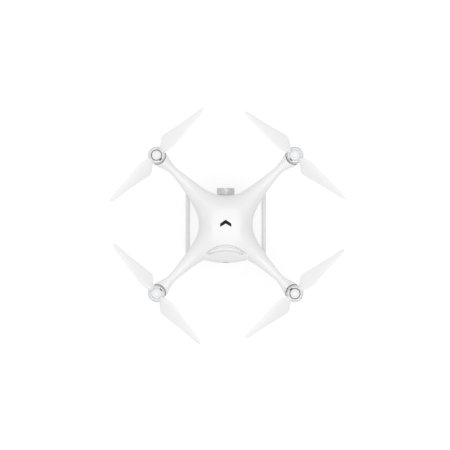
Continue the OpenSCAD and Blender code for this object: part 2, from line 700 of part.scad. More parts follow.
module lens_barrel() {
  color("silver") translate([0, cam_front, lens_z]) rotate([-90, 0, 0]) difference() {
    union() {
      cylinder(r = lens_r, h = lens_front - cam_front - 1);
      translate([0, 0, lens_front - cam_front - 1]) cylinder(r1 = lens_r, r2 = lens_r - 0.8, h = 1);
      translate([0, 0, -3.8]) cylinder(r = 10.8, h = 4.3);
    }
    translate([0, 0, lens_front - cam_front - 5]) cylinder(r1 = 8.4, r2 = 13, h = 5.01);
    translate([0, 0, -11]) cylinder(r = 8.2, h = 30);
  }
}

module lens_glass() {
  color("midnightblue") {
    translate([0, lens_front - 9, lens_z]) rotate([-90, 0, 0]) intersection() {
      cylinder(r = 8.1, h = 6);
      translate([0, 0, -14]) sphere(r = 18);
    }
    translate([0, cam_front - 3.4, lens_z]) rotate([-90, 0, 0]) cylinder(r = 8.1, h = 3);
  }
}

module memory_card() {
  color("black") translate([card_x, pitch_y - card[1] / 2, lens_z - cam_up + 2]) cube(card);
}

// ---- Battery ----
module case_plan(inset, back) {
  half = pack_w / 2 - inset;
  polygon(concat(
    [[-half, pack_front - inset], [half, pack_front - inset]],
    [for (i = [cap_steps:-1:0]) let(x = max(min(cap_x(i), half), -half)) [x, cap_front_y(x) + back]]));
}

module battery_case() {
  color("white") difference() {
    translate([0, 0, pack_z]) linear_extrude(pack_h) case_plan(0, 0.15);
    translate([0, 0, pack_z + case_wall]) linear_extrude(pack_h - 2 * case_wall) case_plan(case_wall, -1);
    translate([-16, pack_front - case_wall - 1, pack_z + 10]) cube([32, case_wall + 2, 6]);
  }
}

cell_count = 4;
cell_h = (pack_h - 2 * case_wall - 2) / cell_count;
module battery_cells() {
  color("lightsteelblue") for (i = [0:cell_count - 1])
    translate([-pack_w / 2 + case_wall + 1, -35, pack_z + case_wall + 0.4 + i * (cell_h + 0.3)])
      cube([pack_w - 2 * case_wall - 2, 52, cell_h]);
}

module battery_board() {
  color("darkgreen") translate([-30, 18, pack_z + case_wall + 3]) cube([60, 1.6, 22]);
  color("black") for (x = [-22, -4, 14]) translate([x, 19.6, pack_z + case_wall + 16]) cube([8, 1.6, 6]);
}

module battery_contacts() {
  color("gold") for (i = [-3:3])
    translate([i * 4.4 - 0.5, pack_front - 5, pack_z + 10.6]) cube([1, 4.4, 4.8]);
}

// The latches are crescents, let into the top and the underside of the end cap
latch_w = 60;
latch_steps = 12;
latch_y = 3.2;
latch_l = 7;
latch_proud = 0.8;
latch_t = 4.4;
function latch_at(i, j, clear) = let(
  x = (latch_w + 2 * clear) * (i / latch_steps - 0.5), taper = 1 - 0.72 * (2 * i / latch_steps - 1)^2,
  front = cap_front_y(x) - latch_y)
  [x, front + (j == 0 ? clear : -latch_l * taper - clear)];

module latch(up) {
  if (up) patch_solid(function(i, j) latch_at(i, j, 0), function(x, y) skin_top(x, y) - latch_t,
    function(x, y) skin_top(x, y) + latch_proud, latch_steps, 1);
  else patch_solid(function(i, j) latch_at(i, j, 0), function(x, y) skin_bottom(x, y) - latch_proud,
    function(x, y) skin_bottom(x, y) + latch_t, latch_steps, 1);
}

latch_travel = 1.5;
module latch_pocket(up) {
  deep = latch_t + latch_travel + 0.6;
  if (up) patch_solid(function(i, j) latch_at(i, j, 0.4), function(x, y) skin_top(x, y) - deep,
    function(x, y) skin_top(x, y) + 3, latch_steps, 1);
  else patch_solid(function(i, j) latch_at(i, j, 0.4), function(x, y) skin_bottom(x, y) - 3,
    function(x, y) skin_bottom(x, y) + deep, latch_steps, 1);
}

cap_rows = 8;
power_r = 7;
power_z = 137;
power_y = -tail_y + 3.4;
module battery_end_cap() {
  color("white") difference() {
    patch_solid(
      function(i, j) let(x = cap_x(i), s = sin(90 * j / cap_rows))
        [x, cap_front_y(x) + (cap_rear_y(x) - cap_front_y(x)) * s],
      function(x, y) skin_bottom(x, y), function(x, y) skin_top(x, y), cap_steps, cap_rows);
    latch_pocket(true);
    latch_pocket(false);
    translate([0, power_y, power_z]) rotate([90, 0, 0]) cylinder(r = power_r + 2.2, h = 10);
    translate([0, power_y + 3, power_z]) rotate([90, 0, 0]) cylinder(r = power_r - 2, h = 4);
  }
}

module battery_button() {
  color("gainsboro") translate([0, power_y, power_z]) rotate([90, 0, 0]) {
    translate([0, 0, 1.3]) cylinder(r = power_r, h = 1.6);
    translate([0, 0, -1.2]) cylinder(r = power_r - 2.4, h = 2.6);
  }
}

module battery_latch_top() { color("white") latch(true); }
module battery_latch_bottom() { color("white") latch(false); }

upper_shell();
lower_shell();
top_mark();
battery_bay();
bay_connector();
main_board();
speed_control_board();
heat_sink();
gps_antenna();
motion_sensor();
front_vision_sensors();
belly_vision_module();
landing_gear(-1);  // landing_gear_left
landing_gear(1);  // landing_gear_right
skid_pads();
motor_mounts();
arm_light_covers();
arm_light_boards();
stator_bases();
stator_cores();
stator_windings();
motor_bearings();
motor_screws();
shell_screws();
motor_bell(-1, 1);  // motor_bell_fl
motor_bell(1, 1);  // motor_bell_fr
motor_bell(-1, -1);  // motor_bell_rl
motor_bell(1, -1);  // motor_bell_rr
propeller(-1, 1, prop_angle_fl, true);  // propeller_fl
propeller(1, 1, prop_angle_fr, false);  // propeller_fr
propeller(-1, -1, prop_angle_rl, false);  // propeller_rl
propeller(1, -1, prop_angle_rr, true);  // propeller_rr
prop_ring(-1, 1, "dimgray");  // prop_ring_fl
prop_ring(1, 1, "silver");  // prop_ring_fr
prop_ring(-1, -1, "silver");  // prop_ring_rl
prop_ring(1, -1, "dimgray");  // prop_ring_rr
damper_plate();
gimbal_dampers();
gimbal_base();
yaw_arm();
roll_motor();
roll_arm();
pitch_motor();
camera_body();
camera_rear_cover();
lens_barrel();
lens_glass();
image_sensor();
memory_card();
battery_case();
battery_cells();
battery_board();
battery_end_cap();
battery_contacts();
battery_button();
battery_latch_top();
battery_latch_bottom();
usb_port();
link_button();
link_switch();
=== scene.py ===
"""Looks of a white quadcopter drone with a gimbal camera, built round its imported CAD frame.

Lengths inside this script are millimetres until a mesh is made, and the frame is in metres.
"""

import json
import math

import bmesh
import bpy
import numpy as np
from mathutils import Matrix, Vector


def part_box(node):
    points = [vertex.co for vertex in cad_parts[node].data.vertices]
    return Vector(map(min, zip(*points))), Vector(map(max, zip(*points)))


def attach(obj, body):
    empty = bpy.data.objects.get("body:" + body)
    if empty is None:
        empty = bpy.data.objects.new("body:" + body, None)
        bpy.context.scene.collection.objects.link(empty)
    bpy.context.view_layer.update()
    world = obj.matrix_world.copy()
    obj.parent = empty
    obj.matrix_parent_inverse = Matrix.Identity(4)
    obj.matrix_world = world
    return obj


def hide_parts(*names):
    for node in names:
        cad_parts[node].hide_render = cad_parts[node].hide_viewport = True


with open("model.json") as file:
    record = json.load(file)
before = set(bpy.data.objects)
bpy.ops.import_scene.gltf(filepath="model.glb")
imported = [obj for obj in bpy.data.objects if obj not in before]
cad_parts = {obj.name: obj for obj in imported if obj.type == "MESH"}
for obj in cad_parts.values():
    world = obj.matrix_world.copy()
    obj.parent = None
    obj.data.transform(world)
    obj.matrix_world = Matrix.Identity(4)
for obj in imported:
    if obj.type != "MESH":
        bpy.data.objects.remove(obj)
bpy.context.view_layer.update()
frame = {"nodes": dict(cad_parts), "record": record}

MM = 0.001
NODES = frame["nodes"]
CORNERS = {"fl": (-1, 1), "fr": (1, 1), "rl": (-1, -1), "rr": (1, -1)}


def box_mm(node):
    """Lowest and highest corner of a CAD node, in millimetres."""
    low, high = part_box(node)
    return np.array(low) / MM, np.array(high) / MM


def centre(node):
    """Middle of a CAD node's box, in millimetres."""
    return sum(box_mm(node)) / 2


# ---------------- mesh helpers

SMOOTH = 40
SHELL_SMOOTH = 35
SQUARE_RIM = 0.01


def shade(mesh, sharp):
    mesh.shade_smooth()
    mesh.set_sharp_from_angle(angle=math.radians(sharp))


def mesh_of(name, points, faces, sharp=SMOOTH):
    """A mesh from points in millimetres, with doubles merged and the faces turned outward."""
    mesh = bpy.data.meshes.new(name)
    mesh.from_pydata((np.asarray(points, float) * MM).tolist(), [], [list(map(int, f)) for f in faces])
    bm = bmesh.new()
    bm.from_mesh(mesh)
    bmesh.ops.remove_doubles(bm, verts=bm.verts, dist=2e-6)
    bmesh.ops.dissolve_degenerate(bm, edges=bm.edges, dist=1e-6)
    bmesh.ops.recalc_face_normals(bm, faces=bm.faces)
    if bm.calc_volume(signed=True) < 0:
        bmesh.ops.reverse_faces(bm, faces=bm.faces)
    bm.to_mesh(mesh)
    bm.free()
    shade(mesh, sharp)
    return mesh


def piece(name, solid, body, slot, at=(0, 0, 0), stands_for=None, sharp=SMOOTH):
    """A visible piece on a CAD body, from a mesh or from points and faces; at is its own origin, in mm."""
    mesh = solid if isinstance(solid, bpy.types.Mesh) else mesh_of(name, *solid, sharp)
    mesh.materials.append(MATERIALS[slot])
    obj = bpy.data.objects.new(name, mesh)
    bpy.context.scene.collection.objects.link(obj)
    obj.location = Vector(at) * MM
    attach(obj, body)
    if stands_for:
        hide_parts(stands_for)
    return obj


def joined(parts):
    """One list of points and faces from several."""
    points, faces, start = [], [], 0
    for p, f in parts:
        points.append(np.asarray(p, float))
        faces += [[i + start for i in face] for face in f]
        start += len(p)
    return np.concatenate(points), faces


def moved(part, matrix):
    """Points and faces with a 4x4 matrix applied, in millimetres."""
    points, faces = part
    m = np.array(matrix, float)
    return np.asarray(points, float) @ m[:3, :3].T + m[:3, 3], faces


def shift(x, y, z):
    return Matrix.Translation((x, y, z))


def turn(degrees, axis):
    return Matrix.Rotation(math.radians(degrees), 4, axis)


# These stand a flat part up, so that its thickness runs along Y or along X.
UPRIGHT = turn(90, "X") @ Matrix.Scale(-1, 4, (0, 0, 1))
SIDEWAYS = turn(90, "Z") @ turn(90, "X")
# These lay a turned part down, with its axis along X or Y.
ALONG = {"x": turn(90, "Y"), "y": turn(-90, "X")}


def straight(a, b, steps):
    return a + (b - a) * np.linspace(0, 1, steps)[:, None]


def bend(a, b, c, steps):
    """A curve from a to c that is pulled towards b."""
    s = np.linspace(0, 1, steps)[:, None]
    return (1 - s) ** 2 * a + 2 * s * (1 - s) * b + s * s * c


def fillet(corners, radius, steps=4, closed=False):
    """A 2-D line with its corners rounded."""
    corners = [np.array(c, float) for c in corners]
    n = len(corners)
    out = []
    for i, p in enumerate(corners):
        if not closed and i in (0, n - 1):
            out.append(p)
            continue
        a, b = corners[i - 1] - p, corners[(i + 1) % n] - p
        la, lb = np.linalg.norm(a), np.linalg.norm(b)
        # Two neighbouring corners never take more than the line between them.
        r = min(radius, 0.48 * la, 0.48 * lb)
        out += list(bend(p + a / la * r, p, p + b / lb * r, steps + 1))
    return out


def band_faces(rows, cols, closed=True):
    """Quads between rows of points, each row a closed ring or an open line."""
    return [
        [i * cols + j, i * cols + (j + 1) % cols, (i + 1) * cols + (j + 1) % cols, (i + 1) * cols + j]
        for i in range(rows - 1)
        for j in range(cols if closed else cols - 1)
    ]


def sheet_faces(rows, cols):
    """Quads over a grid of points."""
    ids = np.arange(rows * cols).reshape(rows, cols)
    return np.stack([ids[:-1, :-1], ids[1:, :-1], ids[1:, 1:], ids[:-1, 1:]], -1).reshape(-1, 4).tolist()


def tube(rings):
    """Points and faces of closed rings in a row, with both ends shut."""
    rows, cols = rings.shape[:2]
    ends = [list(range(cols)), [(rows - 1) * cols + j for j in range(cols)]]
    return rings.reshape(-1, 3), band_faces(rows, cols) + ends


def lathe(profile, segments):
    """Points and faces of a profile of (radius, height) turned round Z."""
    radius, height = np.array(profile, float).T[..., None]
    a = np.linspace(0, 2 * np.pi, segments, endpoint=False)
    points = np.stack([radius * np.cos(a), radius * np.sin(a), height + 0 * a], -1)
    return points.reshape(-1, 3), band_faces(len(profile), segments)


def spun(profile, radius, steps=3, segments=96):
    """A turned part whose corners are rounded."""
    return lathe(fillet(profile, radius, steps), segments)


def peg(r, low, high, at, axis, segments=40):
    """A straight round cutter or rod along an axis."""
    part = lathe([(0, low), (r, low), (r, high), (0, high)], segments)
    return moved(part, shift(*at) @ ALONG[axis])


def rod(profile, at, axis, radius=0.3, segments=72):
    """A turned part along an axis, from a profile of (radius, place along the axis)."""
    return moved(spun(profile, radius, 3, segments), shift(*at) @ ALONG[axis])


def offset(outline, amount):
    """A closed 2-D outline moved outward by amount along its own normals."""
    p = np.array(outline, float)
    before, after = p - np.roll(p, 1, 0), np.roll(p, -1, 0) - p
    before /= np.linalg.norm(before, axis=1)[:, None] + 1e-12
    after /= np.linalg.norm(after, axis=1)[:, None] + 1e-12
    tangent = before + after
    tangent /= np.linalg.norm(tangent, axis=1)[:, None] + 1e-12
    normal = np.stack([tangent[:, 1], -tangent[:, 0]], -1)
    area = np.sum(p[:, 0] * np.roll(p[:, 1], -1) - np.roll(p[:, 0], -1) * p[:, 1])
    stretch = 1 / np.maximum(np.sum(normal * np.stack([before[:, 1], -before[:, 0]], -1), 1), 0.5)
    return p + normal * (amount * (1 if area > 0 else -1) * stretch)[:, None]


def slab(outline, low, high, bevel):
    """Points and faces of a closed outline extruded along Z, with rounded rims."""
    rim_steps = [(0, -bevel), (0.3 * bevel, -0.3 * bevel), (bevel, 0)]
    levels = [(low + rise, inset) for rise, inset in rim_steps]
    levels += [(high - rise, inset) for rise, inset in rim_steps[::-1]]
    n = len(outline)
    points = [np.column_stack([offset(outline, inset), np.full(n, z)]) for z, inset in levels]
    ends = [list(range(n))[::-1], [(len(levels) - 1) * n + j for j in range(n)]]
    return np.concatenate(points), band_faces(len(levels), n) + ends


def rectangle(x0, y0, x1, y1, radius, steps=5):
    return fillet([(x0, y0), (x1, y0), (x1, y1), (x0, y1)], radius, steps, closed=True)


def cut(name, part, cutters, sharp=SHELL_SMOOTH):
    """A mesh of the part with the cutters taken away, all as points and faces."""
    whole = bpy.data.objects.new(name, mesh_of(name, *part, sharp))
    cutter = bpy.data.objects.new("cutter", mesh_of("cutter", *joined(cutters)))
    for obj in (whole, cutter):
        bpy.context.scene.collection.objects.link(obj)
    mod = whole.modifiers.new("cut", "BOOLEAN")
    mod.operation, mod.solver, mod.object = "DIFFERENCE", "EXACT", cutter
    bpy.context.view_layer.update()
    graph = bpy.context.evaluated_depsgraph_get()
    mesh = bpy.data.meshes.new_from_object(whole.evaluated_get(graph))
    for obj in (whole, cutter):
        bpy.data.objects.remove(obj)
    shade(mesh, sharp)
    return mesh


# ---------------- materials


def new_material(name):
    material = bpy.data.materials.new(name)
    material.use_nodes = True
    tree = material.node_tree
    return material, tree, tree.nodes["Principled BSDF"]


def add_texture(tree, kind, **settings):
    """A procedural texture over the piece's own coordinates."""
    node = tree.nodes.new(kind)
    for key, value in settings.items():
        node.inputs[key.replace("_", " ").title()].default_value = value
    coords = tree.nodes.new("ShaderNodeTexCoord")
    tree.links.new(coords.outputs["Object"], node.inputs["Vector"])
    return node


def object_noise(tree, scale, detail=3.0):
    """Noise over the piece, with so many cells in a metre."""
    return add_texture(tree, "ShaderNodeTexNoise", scale=scale, detail=detail).outputs["Fac"]


def map_range(tree, value, low, high, from_low=0.3, from_high=0.7):
    node = tree.nodes.new("ShaderNodeMapRange")
    for key, number in (("From Min", from_low), ("From Max", from_high), ("To Min", low), ("To Max", high)):
        node.inputs[key].default_value = number
    tree.links.new(value, node.inputs["Value"])
    return node.outputs["Result"]


def mix_colour(tree, factor, a, b):
    node = tree.nodes.new("ShaderNodeMix")
    node.data_type = "RGBA"
    for socket, colour in (("A", a), ("B", b)):
        target = [s for s in node.inputs if s.name == socket and s.type == "RGBA"][0]
        if isinstance(colour, bpy.types.NodeSocket):
            tree.links.new(colour, target)
        else:
            target.default_value = (*colour[:3], 1)
    tree.links.new(factor, node.inputs[0])
    return [s for s in node.outputs if s.type == "RGBA"][0]


def mixed_base(tree, shader, factor, a, b):
    tree.links.new(mix_colour(tree, factor, a, b), shader.inputs["Base Color"])


def set_by_ray(tree, socket, to_light, to_camera):
    """A strength that the camera sees as one value, and that lights the scene as another."""
    ray = tree.nodes.new("ShaderNodeLightPath").outputs["Is Camera Ray"]
    tree.links.new(map_range(tree, ray, to_light, to_camera, 0, 1), socket)


def uneven_gloss(tree, shader, scale, low, high, detail=3.0):
    """Roughness that wanders between two values."""
    rough = map_range(tree, object_noise(tree, scale, detail), low, high)
    tree.links.new(rough, shader.inputs["Roughness"])


def add_bump(tree, shader, height, strength, distance):
    bump = tree.nodes.new("ShaderNodeBump")
    bump.inputs["Strength"].default_value = strength
    bump.inputs["Distance"].default_value = distance
    tree.links.new(height, bump.inputs["Height"])
    tree.links.new(bump.outputs["Normal"], shader.inputs["Normal"])


def worn_edges(tree, colour, worn):
    """The colour, going over to worn along raised edges."""
    geometry = tree.nodes.new("ShaderNodeNewGeometry")
    edge = map_range(tree, geometry.outputs["Pointiness"], 0, 0.6, 0.51, 0.56)
    return mix_colour(tree, edge, colour, worn)


DRIFT_CELLS, GLOSS_CELLS = 22, 60


def surface(
    name, base, rough, metallic=0.0, grain=900, bump=0.08, tone=0.03, spread=0.06, wear=0.02, sockets=None
):
    """A material whose colour drifts a little, whose gloss is uneven and whose surface has a fine grain."""
    material, tree, shader = new_material(name)
    base = np.array(base)
    drift = object_noise(tree, DRIFT_CELLS, 4)
    colour = mix_colour(tree, drift, base * (1 - tone), np.minimum(base * (1 + tone * 0.4), 1))
    if wear:
        colour = worn_edges(tree, colour, np.clip(base * 1.04 + wear, 0, 1))
    tree.links.new(colour, shader.inputs["Base Color"])
    uneven_gloss(tree, shader, GLOSS_CELLS, rough - spread, rough + spread, 5)
    add_bump(tree, shader, object_noise(tree, grain, 4), bump, 0.0002)
    shader.inputs["Metallic"].default_value = metallic
    for socket, number in (sockets or {}).items():
        shader.inputs[socket].default_value = number
    return material


def turned(name, base, rough):
    """Metal turned on a lathe: fine rings round the piece's own axis."""
    material, tree, shader = new_material(name)
    base = np.array(base)
    rings = add_texture(tree, "ShaderNodeTexWave", scale=240, distortion=0.6, detail=2)
    rings.wave_type, rings.rings_direction = "RINGS", "Z"
    colour = mix_colour(tree, rings.outputs["Fac"], base * 0.93, base)
    worn = worn_edges(tree, colour, np.clip(base * 1.2 + 0.03, 0, 1))
    tree.links.new(worn, shader.inputs["Base Color"])
    uneven_gloss(tree, shader, 90, rough - 0.07, rough + 0.07, 4)
    add_bump(tree, shader, rings.outputs["Fac"], 0.12, 0.00005)
    shader.inputs["Metallic"].default_value = 1.0
    return material


def circuit_green():
    """Solder mask over copper runs that cross at right angles."""
    material, tree, shader = new_material("circuit_green")
    mask = {"color1": (0.02, 0.13, 0.06, 1), "color2": (0.015, 0.10, 0.05, 1)}
    copper = {"mortar": (0.05, 0.24, 0.11, 1), "mortar_size": 0.06}
    bricks = add_texture(tree, "ShaderNodeTexBrick", scale=120, **mask, **copper)
    tree.links.new(bricks.outputs["Color"], shader.inputs["Base Color"])
    uneven_gloss(tree, shader, 200, 0.25, 0.4)
    add_bump(tree, shader, bricks.outputs["Fac"], 0.2, 0.00005)
    return material


def wound_copper():
    """Enamelled wire, as fine bands."""
    material, tree, shader = new_material("wound_copper")
    bands = add_texture(tree, "ShaderNodeTexWave", scale=900).outputs["Fac"]
    mixed_base(tree, shader, bands, (0.35, 0.12, 0.05), (0.75, 0.34, 0.16))
    uneven_gloss(tree, shader, 300, 0.25, 0.4)
    add_bump(tree, shader, bands, 0.5, 0.0001)
    shader.inputs["Metallic"].default_value = 0.9
    return material


def coated_glass():
    """Dark coated lens glass with a violet bloom towards its edge."""
    material, tree, shader = new_material("coated_glass")
    rim = tree.nodes.new("ShaderNodeLayerWeight")
    rim.inputs["Blend"].default_value = 0.35
    mixed_base(tree, shader, rim.outputs["Facing"], (0.006, 0.007, 0.012), (0.05, 0.03, 0.11))
    uneven_gloss(tree, shader, 120, 0.02, 0.06)
    shader.inputs["Coat Weight"].default_value = 1.0
    shader.inputs["Coat Roughness"].default_value = 0.02
    return material


SATIN = {"bump": 0.02, "tone": 0.01, "spread": 0.02, "wear": 0, "sockets": {"Coat Weight": 0.15}}
INK = {"bump": 0.05, "tone": 0.3, "wear": 0, "sockets": {"Specular IOR Level": 0.15}}
MILKY = {"tone": 0.03, "sockets": {"Transmission Weight": 0.35}}
SURFACES = {
    "shell_white": dict(base=(0.845, 0.845, 0.85), rough=0.34, **SATIN),
    "blade_white": dict(base=(0.85, 0.85, 0.855), rough=0.42, grain=1400, bump=0.1, tone=0.03, wear=0),
    "leg_white": dict(base=(0.84, 0.84, 0.845), rough=0.36, bump=0.05, tone=0.02, wear=0),
    "gimbal_metal": dict(base=(0.74, 0.75, 0.77), rough=0.5, metallic=0.6, grain=2600, bump=0.2, tone=0.05),
    "dark_plastic": dict(base=(0.035, 0.036, 0.04), rough=0.45, grain=1600, bump=0.25, tone=0.2),
    "grey_plastic": dict(base=(0.30, 0.31, 0.33), rough=0.42, grain=1600, bump=0.2, tone=0.08),
    "mark_black": dict(base=(0.012, 0.012, 0.013), rough=0.6, **INK),
    "rubber_black": dict(base=(0.03, 0.03, 0.03), rough=0.75, grain=2200, bump=0.5, tone=0.25),
    "steel": dict(base=(0.55, 0.55, 0.56), rough=0.3, metallic=1.0, grain=2000, bump=0.1, tone=0.08),
    "contact_gold": dict(base=(0.83, 0.60, 0.22), rough=0.22, metallic=1.0, tone=0.06),
    "sensor_ceramic": dict(base=(0.62, 0.52, 0.36), rough=0.6, bump=0.3, tone=0.1),
    "light_cover": dict(base=(0.84, 0.82, 0.78), rough=0.22, **MILKY),
    "cell_foil": dict(base=(0.66, 0.68, 0.71), rough=0.3, metallic=0.8, grain=300, bump=0.5, tone=0.06),
}
MATERIALS = {name: surface(name, **look) for name, look in SURFACES.items()}
MATERIALS["bell_metal"] = turned("bell_metal", (0.72, 0.73, 0.75), 0.3)
MATERIALS["ring_dark"] = turned("ring_dark", (0.10, 0.10, 0.11), 0.34)
MATERIALS["ring_silver"] = turned("ring_silver", (0.40, 0.41, 0.43), 0.32)
MATERIALS["winding_copper"] = wound_copper()
MATERIALS["board_green"] = circuit_green()
MATERIALS["lens_glass"] = coated_glass()

for part in frame["record"]["subparts"]:
    node = NODES[part["node"]]
    node.data.materials.clear()
    node.data.materials.append(MATERIALS[part["material_slot"]])


# ---------------- the airframe's surface

MOTOR_X = centre("prop_ring_fr")[0]
MOTOR_D = MOTOR_X * math.sqrt(2)
WALL = 2.0
ARM_BOW = 2.0
DOME_Z = box_mm("upper_shell")[1][2]
BELLY_Z = box_mm("lower_shell")[0][2]
ARM_KNOTS = [(90, 13), (115, 9.4), (136, 7.2), (150, 9.8), (158, 12.6), (167, 14.8)]
WAIST = [(29, 39), (34, 34), (37, 31.3), (43, 26.8), (52, 22.2), (64, 18.2), (78, 15.2)] + ARM_KNOTS
NOSE = [(31.5, 41.5), (36.5, 36.5), (40, 33.4), (46, 28.8), (54, 24), (64, 19.8), (78, 15.8)] + ARM_KNOTS
TAIL = [(44, 54), (49, 49), (55.6, 41.7), (62, 33.5), (67.5, 25.3), (71.5, 19.4), (76, 16.8)] + ARM_KNOTS
BOW = [(60, 0), (85, 0.8), (112, 1), (140, 0.8), (160, 0)]
CREST = [(-22, -0.9), (0, 0), (22, -0.9), (40, -4), (60, -10.5), (80, -16.5), (100, -20), (125, -21.2)]
CREST += [(150, -19), (180, -15)]
SEAM = [(0, 137), (50, 137), (90, 140), (130, 143.5), (180, 146.5)]
BELLY = [(0, 0), (44, 0), (60, 3), (80, 13), (100, 21), (130, 27), (180, 30)]
EDGE_ROUND = 24.0
EDGE_LAND = 0.8
ARM_END = 167.0
CLAW_SPREAD = 14.8
CLAW_R = math.hypot(MOTOR_D - ARM_END, CLAW_SPREAD)
CLAW_RUN = 35.5
CLAW_ROUND = 0.8
END_INSET = 3.55
BODY_ROWS, ARM_ROWS, COLS = 16, 46, 36
ROWS = BODY_ROWS + ARM_ROWS
ROW_CROWDING = 1.35
QUARTERS = [(1, 1), (-1, 1), (-1, -1), (1, -1)]
BELLY_POWER = 2.6


def spline(knots, x):
    """Smooth curve through the knots, level past its ends."""
    xs, ys = np.array(knots, float).T
    n = len(xs)
    before, after = np.maximum(np.arange(n) - 1, 0), np.minimum(np.arange(n) + 1, n - 1)
    slopes = (ys[after] - ys[before]) / (xs[after] - xs[before])
    x = np.clip(np.asarray(x, float), xs[0], xs[-1])
    i = np.clip(np.searchsorted(xs, x, side="left") - 1, 0, n - 2)
    h = xs[i + 1] - xs[i]
    s = (x - xs[i]) / h
    return (
        (2 * s**3 - 3 * s**2 + 1) * ys[i]
        + (s**3 - 2 * s**2 + s) * h * slopes[i]
        + (3 * s**2 - 2 * s**3) * ys[i + 1]
        + (s**3 - s**2) * h * slopes[i + 1]
    )


def half_w(side, d):
    return np.where(d < side[1][0], 2 * side[1][0] - d, spline(side, d))


def edge_u(side, d, t, inset):
    """1 at the outline, falling to 0 where the rounded edge ends."""
    w = half_w(side, d) - inset
    slope = half_w(side, d + 0.5) - half_w(side, d - 0.5)
    run = np.minimum(w, EDGE_ROUND * np.sqrt(1 + slope**2))
    return np.clip((np.abs(t) - w + run) / run, 0, 1)


def top_z(side, d, t, inset=0.0):
    r = np.hypot(d, t)
    z0 = spline(SEAM, r) + EDGE_LAND
    crown = DOME_Z - inset + spline(CREST, r)
    return z0 + (crown - z0) * np.sqrt(np.maximum(1 - edge_u(side, d, t, inset) ** 2, 0))


def bottom_z(side, d, t, inset=0.0):
    r = np.hypot(d, t)
    z0 = spline(SEAM, r) - EDGE_LAND
    depth = z0 - BELLY_Z - inset - spline(BELLY, r)
    return z0 - depth * (1 - edge_u(side, d, t, inset) ** BELLY_POWER) ** (1 / BELLY_POWER)


def by_side(x, y, height):
    """A height over the drone's own X and Y, from whichever side of the outline is near."""
    d, t = (np.abs(x) + np.abs(y)) / math.sqrt(2), (np.abs(x) - np.abs(y)) / math.sqrt(2)
    ends = np.where(y > 0, height(NOSE, d, t), height(TAIL, d, t))
    return np.where(t > 0, height(WAIST, d, t), ends)


CAP_W = 80.0
CAP_FRONT, CAP_FRONT_SWEEP = -37.0, 20.0
CAP_REAR, CAP_REAR_SWEEP = -69.3, 6.0
CAP_GAP = 0.05
TERRACE_DROP, TERRACE_START, TERRACE_RUN, TERRACE_SWEEP = 0.6, 13.0, 11.0, 13.0
TERRACE_REAR, TERRACE_SIDE = 70.0, 62.0


def cap_front_y(x):
    return CAP_FRONT - CAP_FRONT_SWEEP * (2 * x / CAP_W) ** 2


def cap_rear_y(x):
    return CAP_REAR + CAP_REAR_SWEEP * (2 * x / CAP_W) ** 2 + CAP_GAP


def ease(v):
    v = np.clip(v, 0, 1)
    return v * v * (3 - 2 * v)


def even_ends(v):
    """0 to 1 again, but with steps that are finer at both ends."""
    return (1 - np.cos(np.pi * v)) / 2


def terrace(x, y):
    """How far the top steps down round the battery's end cap; the step fades to the rear and the sides."""
    across = np.abs(x)
    ahead = y - (CAP_FRONT - TERRACE_SWEEP * (across / 40) ** 2.2)
    fade = ease((y + TERRACE_REAR) / 14) * ease((TERRACE_SIDE - across) / 18)
    return TERRACE_DROP * ease((TERRACE_START - ahead) / TERRACE_RUN) * fade


def skin_top(x, y):
    return by_side(x, y, top_z) - terrace(x, y)


def skin_bottom(x, y):
    return by_side(x, y, bottom_z)


# ---------------- the two shells


def plan(end_side, inset):
    """Distances along and across the diagonal for every row and column of a quarter."""
    r = np.arange(ROWS + 1)[:, None].astype(float)
    v = even_ends(np.arange(COLS + 1)[None, :] / COLS)
    in_body = r <= BODY_ROWS
    s = 1 - (1 - np.clip((r - BODY_ROWS) / ARM_ROWS, 0, 1)) ** ROW_CROWDING
    end = ARM_END - END_INSET * inset
    claw = CLAW_R + inset

    def row_d(side):
        start = side[1][0] - inset / 2
        return np.where(in_body, start * np.sin(np.pi / 2 * r / BODY_ROWS), start + (end - start) * s)

    def claw_depth(across):
        return np.sqrt(np.maximum(claw**2 - np.minimum(np.abs(across), claw) ** 2, 0))

    da, db = row_d(end_side), row_d(WAIST)
    ta = np.where(in_body, da, half_w(end_side, da) - inset)
    tb = np.where(in_body, db, half_w(WAIST, db) - inset)
    t = -ta + (ta + tb) * v
    d = da + (db - da) * v
    w = np.where(t < 0, ta, tb)
    reach = np.clip(1 - (end - d) / CLAW_RUN, 0, 1)
    pull = np.where(reach > 0, reach**2 * (claw_depth(w) - claw_depth(t)), 0)
    to_claw = (end - d) * np.ones_like(t)
    return d + pull, t, to_claw


def place(q, d, t, z):
    """Points over the drone's own X, Y and Z; the front arms bow forward a little."""
    bow = np.where((q[1] > 0) & (d > 60), -ARM_BOW * spline(BOW, d), 0)
    t = t + bow
    return np.stack([q[0] * (d + t) / math.sqrt(2), q[1] * (d - t) / math.sqrt(2), z * np.ones_like(d)], -1)


def quarter(q, up, inset):
    """A quarter of a skin, with the edge at the motor rounded over."""
    end_side = NOSE if q[1] > 0 else TAIL
    d, t, to_claw = plan(end_side, inset)
    height = top_z if up else bottom_z
    z = np.where(t > 0, height(WAIST, d, t, inset), height(end_side, d, t, inset))
    near = np.clip(1 - to_claw / CLAW_ROUND, 0, 1)
    above = np.abs(z - spline(SEAM, np.hypot(d, t)))
    # The rounding fades out 2 to 7 mm from the parting line, so that the two shells still meet.
    drop = CLAW_ROUND * (1 - np.sqrt(1 - near**2)) * np.clip((above - 2) / 5, 0, 1)
    points = place(q, d, t, z - drop if up else z + drop)
    if up:
        points[..., 2] -= terrace(points[..., 0], points[..., 1])
    return points


def rim_ids():
    """Row and column of each point along the open edge of a quarter."""
    out = [(r, 0) for r in range(BODY_ROWS, ROWS)] + [(ROWS, c) for c in range(COLS)]
    return out + [(r, COLS) for r in range(ROWS, BODY_ROWS - 1, -1)]


